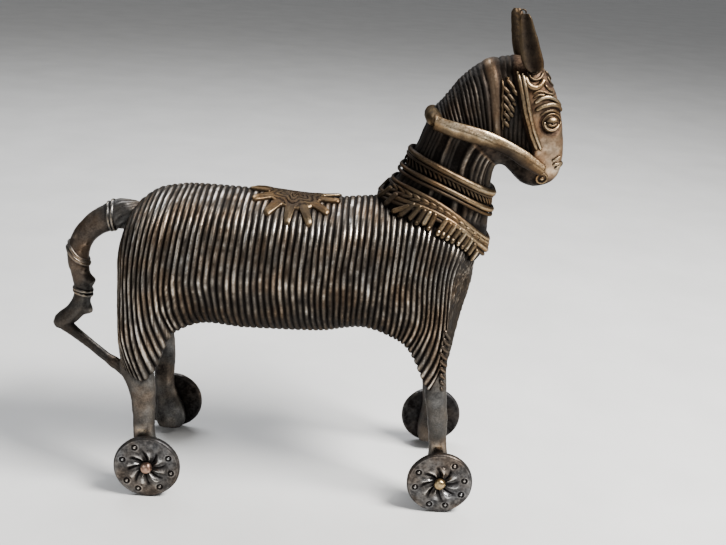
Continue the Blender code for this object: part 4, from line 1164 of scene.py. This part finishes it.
def tassels():
    """Each tassel is two or three thick bars side by side over a dark hollow."""
    for side_name, side in SIDES.items():
        for number, bars in enumerate(TASSEL_BARS, start=1):
            shape = Shape()
            for top_x, top_z, end_x, end_z, bright in bars:
                route = np.linspace((top_x, top_z), (end_x, end_z), 4)
                look = {"per_span": 5, "wear": (0.0, bright)}
                lay(shape, SHOULDERS, route, side, BAR_RADIUS, lift=0.65, **look)
            name = f"tassel_{side_name}_{number}"
            shape.made(f"{name}_bars", WORN, name)


tassels()

# Rear and front edge of the fishbone strip down the front of the front leg
FISHBONE_REAR = [(62.3, 86.5), (61.4, 80.2), (61.2, 75.6), (61.7, 69.8), (62.0, 65.9), (62.9, 59.0)]
FISHBONE_FRONT = [(64.2, 84.4), (64.9, 79.2), (65.2, 74.0), (65.4, 69.1), (65.5, 64.0), (65.6, 56.5)]
FISHBONE_STROKES = 9
FISHBONE_LEAN = np.array([-0.3, 1.5])


def fill_fishbone(shape, side):
    """Strokes that lean down and forward, one under another, down the front of the front leg."""
    rear = even(spans(FISHBONE_REAR, 6), FISHBONE_STROKES)
    front = even(spans(FISHBONE_FRONT, 6), FISHBONE_STROKES)
    for start, end in zip(rear, front):
        route = [start + FISHBONE_LEAN, (start + end) / 2, end - FISHBONE_LEAN]
        lay(shape, SHOULDERS, route, side, 0.95, lift=0.15, wear=(0.0, 0.7))


both_sides("fishbone_strokes", RIDGED, fill_fishbone)

# Saddle rosette

ROSETTE_X = -6.0
ROSETTE_RAYS = 13
ROSETTE_RADIUS = 20.3
ROSETTE_DISC = 12.5
# Height of the plate's face over the back, and how far its edge turns down into it
ROSETTE_LEVEL = 1.25
ROSETTE_SUNK = -1.6


def rosette():
    """A thin sun-shaped plate over the back, with blunt rays and engraved curves."""
    turn = circle(ROSETTE_RAYS * 30)
    part = (turn / (2 * np.pi) * ROSETTE_RAYS) % 1.0
    offset = np.abs(part - 0.5)
    edge = np.where(offset < 0.32, ROSETTE_RADIUS - 7.0 * ramp(offset, 0.10, 0.34), ROSETTE_DISC)
    edge = edge * (1 + 0.02 * np.sin(turn * 5 + 1))
    shares = np.concatenate([np.linspace(0.02, 0.96, 46), [1.0, 1.0]])
    rings, wear = [], []
    for step, share in enumerate(shares):
        reach = edge * share
        x = ROSETTE_X + reach * np.cos(turn)
        y = reach * np.sin(turn)
        height = np.array([BODY.height(a, b) for a, b in zip(x, y)])
        curl = np.sin(reach * 2.4 + 3.0 * np.sin(turn * ROSETTE_RAYS / 2))
        groove = ramp(curl, 0.45, 0.95) * (reach < ROSETTE_DISC * 0.92)
        rays = ramp(reach, ROSETTE_DISC * 0.8, ROSETTE_DISC * 1.1)
        spine = 0.30 * rays * np.clip(1 - offset / 0.2, 0, 1)
        level = ROSETTE_LEVEL - 0.45 * groove + spine - 0.5 * ramp(share, 0.93, 1.0)
        if step == len(shares) - 1:
            level = ROSETTE_SUNK
        rings.append(xyz(x, y, height + level))
        brim = ramp(share, 0.85, 0.97) * (step < len(shares) - 2)
        wear.append(0.44 - 0.5 * groove + 0.3 * spine + 0.30 * brim + 0.10 * noise(rings[-1], 5.0, 163))
    shape = Shape()
    shape.grid(np.array(rings), np.array(wear))
    shape.made("saddle_plate", WORN, "saddle_rosette")


rosette()

# Tail

# Middle of the tail, x y z, and its radius
TAIL_LINE = [(-70.0, 0.0, 118.6, 7.4), (-78.0, -0.2, 122.2, 7.0), (-84.0, -0.5, 122.6, 6.4),
             (-92.4, -1.4, 118.6, 5.5), (-99.0, -2.2, 111.8, 4.9), (-101.6, -2.8, 103.5, 4.8),
             (-100.8, -3.0, 95.0, 4.2), (-99.8, -3.0, 87.0, 3.9), (-101.2, -3.2, 80.4, 4.0),
             (-104.6, -3.6, 75.6, 4.0), (-108.2, -4.0, 72.4, 4.1), (-110.8, -4.2, 70.7, 3.5),
             (-112.6, -4.3, 69.7, 1.8)]
TAIL_STEPS = 230
# Strands of the rope at the tail's root, and the turns they would make over its whole length
ROPE_STRANDS = 9
ROPE_TURNS = 16
# Lumps on the tail: their middle, size and height
TAIL_LUMPS = [((-95.6, -3.0, 91.6), 2.2, 2.3), ((-97.8, -3.2, 77.4), 2.4, 2.6),
              ((-97.2, -6.6, 110.0), 1.2, 0.9), ((-99.6, -6.8, 106.6), 1.0, 0.7),
              ((-101.8, -6.2, 113.0), 1.1, 0.6), ((-98.0, -6.8, 97.0), 1.2, 0.8)]
# Rings round the tail: share of its length, lean across it and radius
TAIL_RINGS = [(0.205, 0.02, 1.0), (0.225, 0.02, 0.8), (0.505, 0.045, 0.9), (0.528, 0.045, 1.1),
              (0.712, 0.01, 0.9), (0.732, 0.01, 0.9)]


def tail():
    """The roped root, the plain lower part with its lumps and rings, and the turned-out tip."""
    rows = even(spans(TAIL_LINE, 14), TAIL_STEPS)
    line, radii = rows[:, :3], rows[:, 3]
    tangent = unit(np.gradient(line, axis=0))
    left = np.array([0.0, 1.0, 0.0])
    side = unit(left - (tangent @ left)[:, None] * tangent)
    other = np.cross(tangent, side)
    turn = circle(72)
    spread = np.cos(turn)[None, :, None] * side[:, None] + np.sin(turn)[None, :, None] * other[:, None]
    share = np.linspace(0, 1, TAIL_STEPS)[:, None]
    rope = rounded((turn[None, :] / (2 * np.pi) * ROPE_STRANDS + share * ROPE_TURNS) % 1.0)
    root = 1 - ramp(share, 0.16, 0.21)
    relief = root * (rope - 0.8) * 0.9
    base = line[:, None] + spread * radii[:, None, None]
    wear = root * rope * 0.50 + (1 - root) * 0.30
    for middle, size, height in TAIL_LUMPS:
        lump = bell(np.linalg.norm(base - np.array(middle), axis=-1), size)
        relief = relief + height * lump
        wear = wear + 0.35 * lump
    relief = relief + 0.12 * noise(base, 1.6, 97) + 0.2 * noise(base, 4.0, 101)
    shape = Shape()
    shape.grid(base + spread * relief[..., None], wear + 0.12 * noise(base, 3.0, 103))
    around = np.linspace(0, 2 * np.pi, 38)
    steps = np.arange(TAIL_STEPS)
    for place, lean, radius in TAIL_RINGS:
        rows = np.clip((place + lean * np.sin(around)) * (TAIL_STEPS - 1), 0, TAIL_STEPS - 1)
        centre = xyz(*[np.interp(rows, steps, line[:, axis]) for axis in range(3)])
        reach = np.interp(rows, steps, radii) - 0.1
        index = rows.astype(int)
        out = np.cos(around)[:, None] * side[index] + np.sin(around)[:, None] * other[index]
        shape.tube(centre + out * reach[:, None], radius, out, taper=False, wear=(0.1, 0.86))
    brown = 0.25 * ramp(share, 0.2, 0.3) * (1 - ramp(share, 0.55, 0.7)) + 0 * turn[None, :]
    shape.made("tail_casting", SMOOTH, "tail", golden=brown)


tail()

BRACE_LINE = [(-109.4, -4.0, 70.8), (-103.5, -7.0, 67.8), (-95.1, -12.5, 64.7), (-87.6, -17.0, 61.5),
              (-82.0, -20.4, 59.6), (-76.5, -23.4, 57.4)]
# Radius of the brace at shares of its length
BRACE_SWELL = [(0.0, 3.4), (0.16, 2.5), (0.4, 2.1), (0.72, 2.1), (0.82, 2.8), (0.9, 2.4), (1.0, 2.8)]
BRACE_STEPS = 60


def brace():
    """The bar from the tip of the tail to the right hind leg."""
    line = even(spans(BRACE_LINE, 10), BRACE_STEPS)
    radius = profile(BRACE_SWELL, np.linspace(0, 1, BRACE_STEPS)) * (1 + 0.06 * noise(line, 2.0, 107))
    shape = Shape()
    shape.tube(line, radius, sides=24, wear=(0.15, 0.50), taper=False)
    shape.made("tail_brace", SMOOTH, "tail_strut")


brace()

# Legs

# Middle x and z, half length, half width and how far out the middle is
HIND_LEG = [(-70.6, 72.0, 5.0, 2.6, 24.2), (-72.2, 63.0, 6.8, 3.5, 24.4), (-71.2, 57.0, 7.3, 4.2, 24.6),
            (-69.5, 51.0, 6.2, 4.8, 24.8), (-68.7, 45.0, 5.4, 5.1, 24.9), (-68.5, 38.0, 5.0, 5.0, 25.0),
            (-68.6, 30.0, 4.8, 4.9, 25.0), (-67.8, 23.0, 5.2, 5.0, 25.2), (-66.4, 16.0, 6.5, 5.0, 25.4),
            (-65.8, 9.0, 7.4, 5.0, 25.4), (-65.8, 5.0, 6.2, 4.4, 25.2)]
FRONT_LEG = [(59.8, 76.0, 3.8, 2.6, 24.2), (60.4, 66.0, 4.6, 3.4, 24.4), (60.9, 59.0, 4.9, 4.1, 24.6),
             (61.4, 54.0, 4.9, 4.5, 24.8), (62.3, 48.0, 4.7, 4.6, 25.0), (63.4, 40.0, 4.4, 4.4, 25.0),
             (64.1, 32.0, 4.1, 4.3, 25.0), (65.0, 24.0, 4.6, 4.6, 25.2), (66.0, 16.0, 6.4, 5.0, 25.4),
             (66.4, 9.0, 7.2, 5.0, 25.4), (66.2, 5.4, 6.0, 4.4, 25.2)]
# How far out the flat faces of a foot are
FOOT_INNER = 20.4
FOOT_OUTER = 30.35
# Heights from which and to which a leg grows squarer on its way down
SQUARE_FROM = 26.0
SQUARE_TO = 15.0


def leg(name, table, side):
    """A smooth shank that widens into the flat-sided foot its wheel is riveted to."""
    rows = even(spans(table, 12), 120)
    turn = circle(64)
    x, z, half_length, half_width, out = rows.T[:, :, None]
    power = 2 / (2.0 + 0.7 * ramp(-z, -SQUARE_FROM, -SQUARE_TO))
    y = out + half_width * signed_power(np.sin(turn), power)
    y = np.clip(y, FOOT_INNER, FOOT_OUTER)
    rings = xyz(x + half_length * signed_power(np.cos(turn), power), side * y, z)
    # Golden is a painted highlight band on the outer face just above the wheel, and shade darkens the rear
    # and inner sides as painted shade.
    golden = bell(z - 31.0, 2.2) * np.clip(np.sin(turn), 0, 1) ** 2
    shade = 0.16 * np.clip(-np.cos(turn), 0, 1) + 0.16 * np.clip(-np.sin(turn), 0, 1)
    flat = (y < FOOT_INNER + 0.4) | (y > FOOT_OUTER - 0.4)
    relief = np.where(flat, -0.1, 0.10 * noise(rings, 1.2, 109) + 0.22 * noise(rings, 4.5, 113))
    rings = raised(rings, relief)
    shape = Shape()
    shape.grid(rings, 0.46 - shade + 0.5 * golden + 0.16 * noise(rings, 3.0, 127))
    shape.made(f"shank_{name}", SMOOTH, f"leg_{name}")


# Wheels

# Angles of the stamps round each wheel, in degrees from the front, upwards
STAMPS = {
    "front_right": [151, 191, 250, 288, 334, 12, 58],
    "hind_right": [161, 117, 28.5, -11, -58, -109, 218.5],
    "front_left": [20, 62, 108, 160, 205, 251, 300],
    "hind_left": [75, 118, 165, 212, 258, 305, 350],
}
STAMP_REACH = 11.3
STAMP_RADIUS = 1.7
PETALS = 8
# Radius of the hole and of the rounding at the rim
BORE = 2.05
RIM = 0.9
# Distances from the axle at which the petals begin, and at which they and the gaps between them end
PETALS_BEGIN = (2.6, 3.8)
PETALS_END = (7.8, 9.4)
GAPS_END = (7.5, 9.4)
BACK_STEPS = 20


def wheel(name, side, axle_x):
    """A thin cast disc with a sunken hub, curved petals and stamped rings, plain at the back."""
    turn = circle(260)
    half = WHEEL_THICKNESS / 2
    flat_reach = WHEEL_RADIUS - RIM
    reach = np.concatenate([np.linspace(BORE, 4.6, 10), np.linspace(4.9, flat_reach, 42)])
    edge = np.linspace(0, np.pi, 11)[1:-1]
    back = np.linspace(flat_reach, BORE, BACK_STEPS)
    radii = np.concatenate([reach, flat_reach + RIM * np.sin(edge), back])
    depth = np.concatenate([np.full_like(reach, half), np.cos(edge) * half, np.full(BACK_STEPS, -half)])
    face = np.concatenate([np.ones_like(reach), np.zeros(len(edge) + BACK_STEPS)])[:, None]
    radius, angle = np.broadcast_arrays(radii[:, None], turn[None, :])
    flat = xyz(radius * np.cos(angle), radius * np.sin(angle), axle_x)
    direction = xyz(np.cos(angle), np.sin(angle), axle_x)
    relief = -1.05 * (1 - ramp(radius, 3.2, 7.2)) * face
    # The back of the disc is kept dark as painted shade, for the far wheels' inner faces.
    wear = 0.10 + 0.38 * face - 0.34 * (1 - ramp(radius, 2.6, 4.2)) * face
    wear = wear + 0.35 * ramp(radius, WHEEL_RADIUS - 1.5, WHEEL_RADIUS)
    uneven = 0.10 * noise(direction, 0.5, 167)
    curl = angle - (radius - 3.0) * 0.05
    petal_share = (curl / (2 * np.pi) * PETALS + 0.35 * math.sin(axle_x) + uneven) % 1.0
    swell = 0.10 + 0.09 * ramp(radius, 3.0, 7.5)
    begun = ramp(radius, *PETALS_BEGIN)
    arm = bell(petal_share - 0.5, swell) * begun * (1 - ramp(radius, *PETALS_END)) * face
    dark = bell(petal_share - 0.9, 0.12) * begun * (1 - ramp(radius, *GAPS_END)) * face
    relief = relief + 0.85 * arm - 0.55 * dark
    wear = wear + 0.50 * arm - 0.45 * dark
    for degrees in STAMPS[name]:
        x = flat[..., 0] - STAMP_REACH * math.cos(math.radians(degrees))
        z = flat[..., 1] - STAMP_REACH * math.sin(math.radians(degrees))
        away = np.hypot(x, z)
        open_side = 0.55 + 0.45 * np.cos(np.arctan2(z, x) - math.radians(degrees * 3))
        ring = bell(away - STAMP_RADIUS, 0.36) * face * open_side
        dot = np.exp(-(away / 0.68) ** 4) * face
        pit = bell(away - 1.1, 0.34) * face
        relief = relief + 0.36 * ring + 0.45 * dot - 0.5 * pit
        wear = wear + 0.35 * ring + 0.45 * dot - 0.45 * pit
    rough = 0.11 * noise(flat, 0.8, 131) + 0.10 * noise(flat, 2.2, 137)
    relief = relief + rough * (0.5 + 0.5 * face)
    wear = wear + 0.9 * rough
    shrink = 1 - 0.006 * (1 + noise(direction, 0.4, 139))
    out = (depth[:, None] + relief) * side
    points = xyz(axle_x + radius * shrink * np.cos(angle), side * HALF_TRACK + out,
                 AXLE_HEIGHT + radius * shrink * np.sin(angle))
    points = np.concatenate([points, points[:1]])
    wear = np.concatenate([wear, wear[:1]]) + 0.10 * noise(points, 1.2, 149)
    shape = Shape()
    shape.grid(points, wear, caps=False)
    shape.made(f"stamped_wheel_{name}", WHEEL, f"wheel_{name}", body=f"{name}_wheel")


# How far the dome of a rivet stands out from its foot, and the radius of the shank
RIVET_DOME = 2.4
RIVET_SHANK = 1.7


def rivet(name, side, axle_x):
    """A rivet with a hammered dome outside and a shank that ends inside the foot."""
    low, high = box_mm(f"rivet_{name}")
    outer = max(abs(low[1]), abs(high[1]))
    head = (high[2] - low[2]) / 2
    foot = outer - RIVET_DOME
    dome = [(head * math.sin(a), foot + 2.35 * math.cos(a)) for a in np.linspace(0.04, np.pi / 2, 14)]
    shank = [(RIVET_SHANK, foot - 0.55), (RIVET_SHANK, FOOT_INNER + 0.8), (0.5, FOOT_INNER + 0.5)]
    radius, out = np.array([*dome, (head, foot - 0.5), *shank]).T[:, :, None]
    turn = circle(40)
    rings = xyz(axle_x + radius * np.cos(turn), side * out, AXLE_HEIGHT + radius * np.sin(turn))
    facets = 0.16 * noise(rings, 1.7, 151) - 0.1
    rings = rings + unit(rings - np.array([axle_x, side * foot, AXLE_HEIGHT])) * facets[..., None]
    shape = Shape()
    shape.grid(rings, 0.62 + 0.3 * noise(rings, 1.4, 157))
    shape.made(f"domed_rivet_{name}", RIVETS[name.split("_")[0]], f"rivet_{name}", slot="copper")


for side_name, side in SIDES.items():
    for end, table, axle_x in (("front", FRONT_LEG, HALF_WHEELBASE), ("hind", HIND_LEG, -HALF_WHEELBASE)):
        corner = f"{end}_{side_name}"
        leg(corner, table, side)
        wheel(corner, side, axle_x)
        rivet(corner, side, axle_x)

core = frame["nodes"]["clay_core"].data
core.materials.clear()
core.materials.append(fired_clay())

# Stage, light and camera

FLOOR_REACH = 8.0


def make_floor():
    data = bpy.data.meshes.new("floor")
    corners = [(FLOOR_REACH * x, FLOOR_REACH * y, 0.0) for x, y in ((-1, -1), (1, -1), (1, 1), (-1, 1))]
    data.from_pydata(corners, [], [range(len(corners))])
    data.materials.append(floor_material())
    linked("floor", data)


def light(name, place, target, size, power, colour):
    """A soft rectangular lamp in metres, turned to a target."""
    data = bpy.data.lights.new(name, "AREA")
    data.shape = "RECTANGLE"
    data.size, data.size_y = size
    data.energy = power
    data.color = colour
    lamp = linked(name, data)
    lamp.location = place
    lamp.rotation_mode = "QUATERNION"
    lamp.rotation_quaternion = (Vector(target) - Vector(place)).to_track_quat("-Z", "Y")


def make_world():
    world = bpy.data.worlds.new("studio")
    bpy.context.scene.world = world
    world.use_nodes = True
    background = world.node_tree.nodes["Background"]
    background.inputs["Color"].default_value = (0.84, 0.85, 0.87, 1.0)
    background.inputs["Strength"].default_value = 0.28


# The camera's lens, its place and its right and up directions, in the horse's frame
LENS = 49.6
CAMERA_PLACE = Vector((16.876 + AXLES_X, -424.437, 257.175)) * MM
CAMERA_RIGHT = Vector((0.998012, 0.001949, 0.062998))
CAMERA_UP = Vector((-0.059819, 0.344189, 0.936993))


def make_camera():
    data = bpy.data.cameras.new("camera")
    data.sensor_width = 36.0
    data.lens = LENS
    data.clip_start = 0.01
    data.clip_end = 20.0
    camera = linked("camera", data)
    turn = Matrix((CAMERA_RIGHT, CAMERA_UP, CAMERA_RIGHT.cross(CAMERA_UP))).transposed().to_4x4()
    camera.matrix_world = Matrix.Translation(CAMERA_PLACE) @ turn
    bpy.context.scene.camera = camera


make_floor()
light("window", (0.50, -0.22, 0.72), (0.0, 0.0, 0.1), (0.30, 0.30), 25.0, (1.0, 0.98, 0.95))
light("sky", (-0.2, 0.5, 0.85), (0.0, 0.0, 0.12), (0.9, 0.5), 8.5, (0.94, 0.96, 1.0))
light("room", (-0.6, -0.7, 0.5), (0.0, 0.0, 0.1), (0.6, 0.6), 1.4, (1.0, 0.98, 0.96))
make_world()
make_camera()
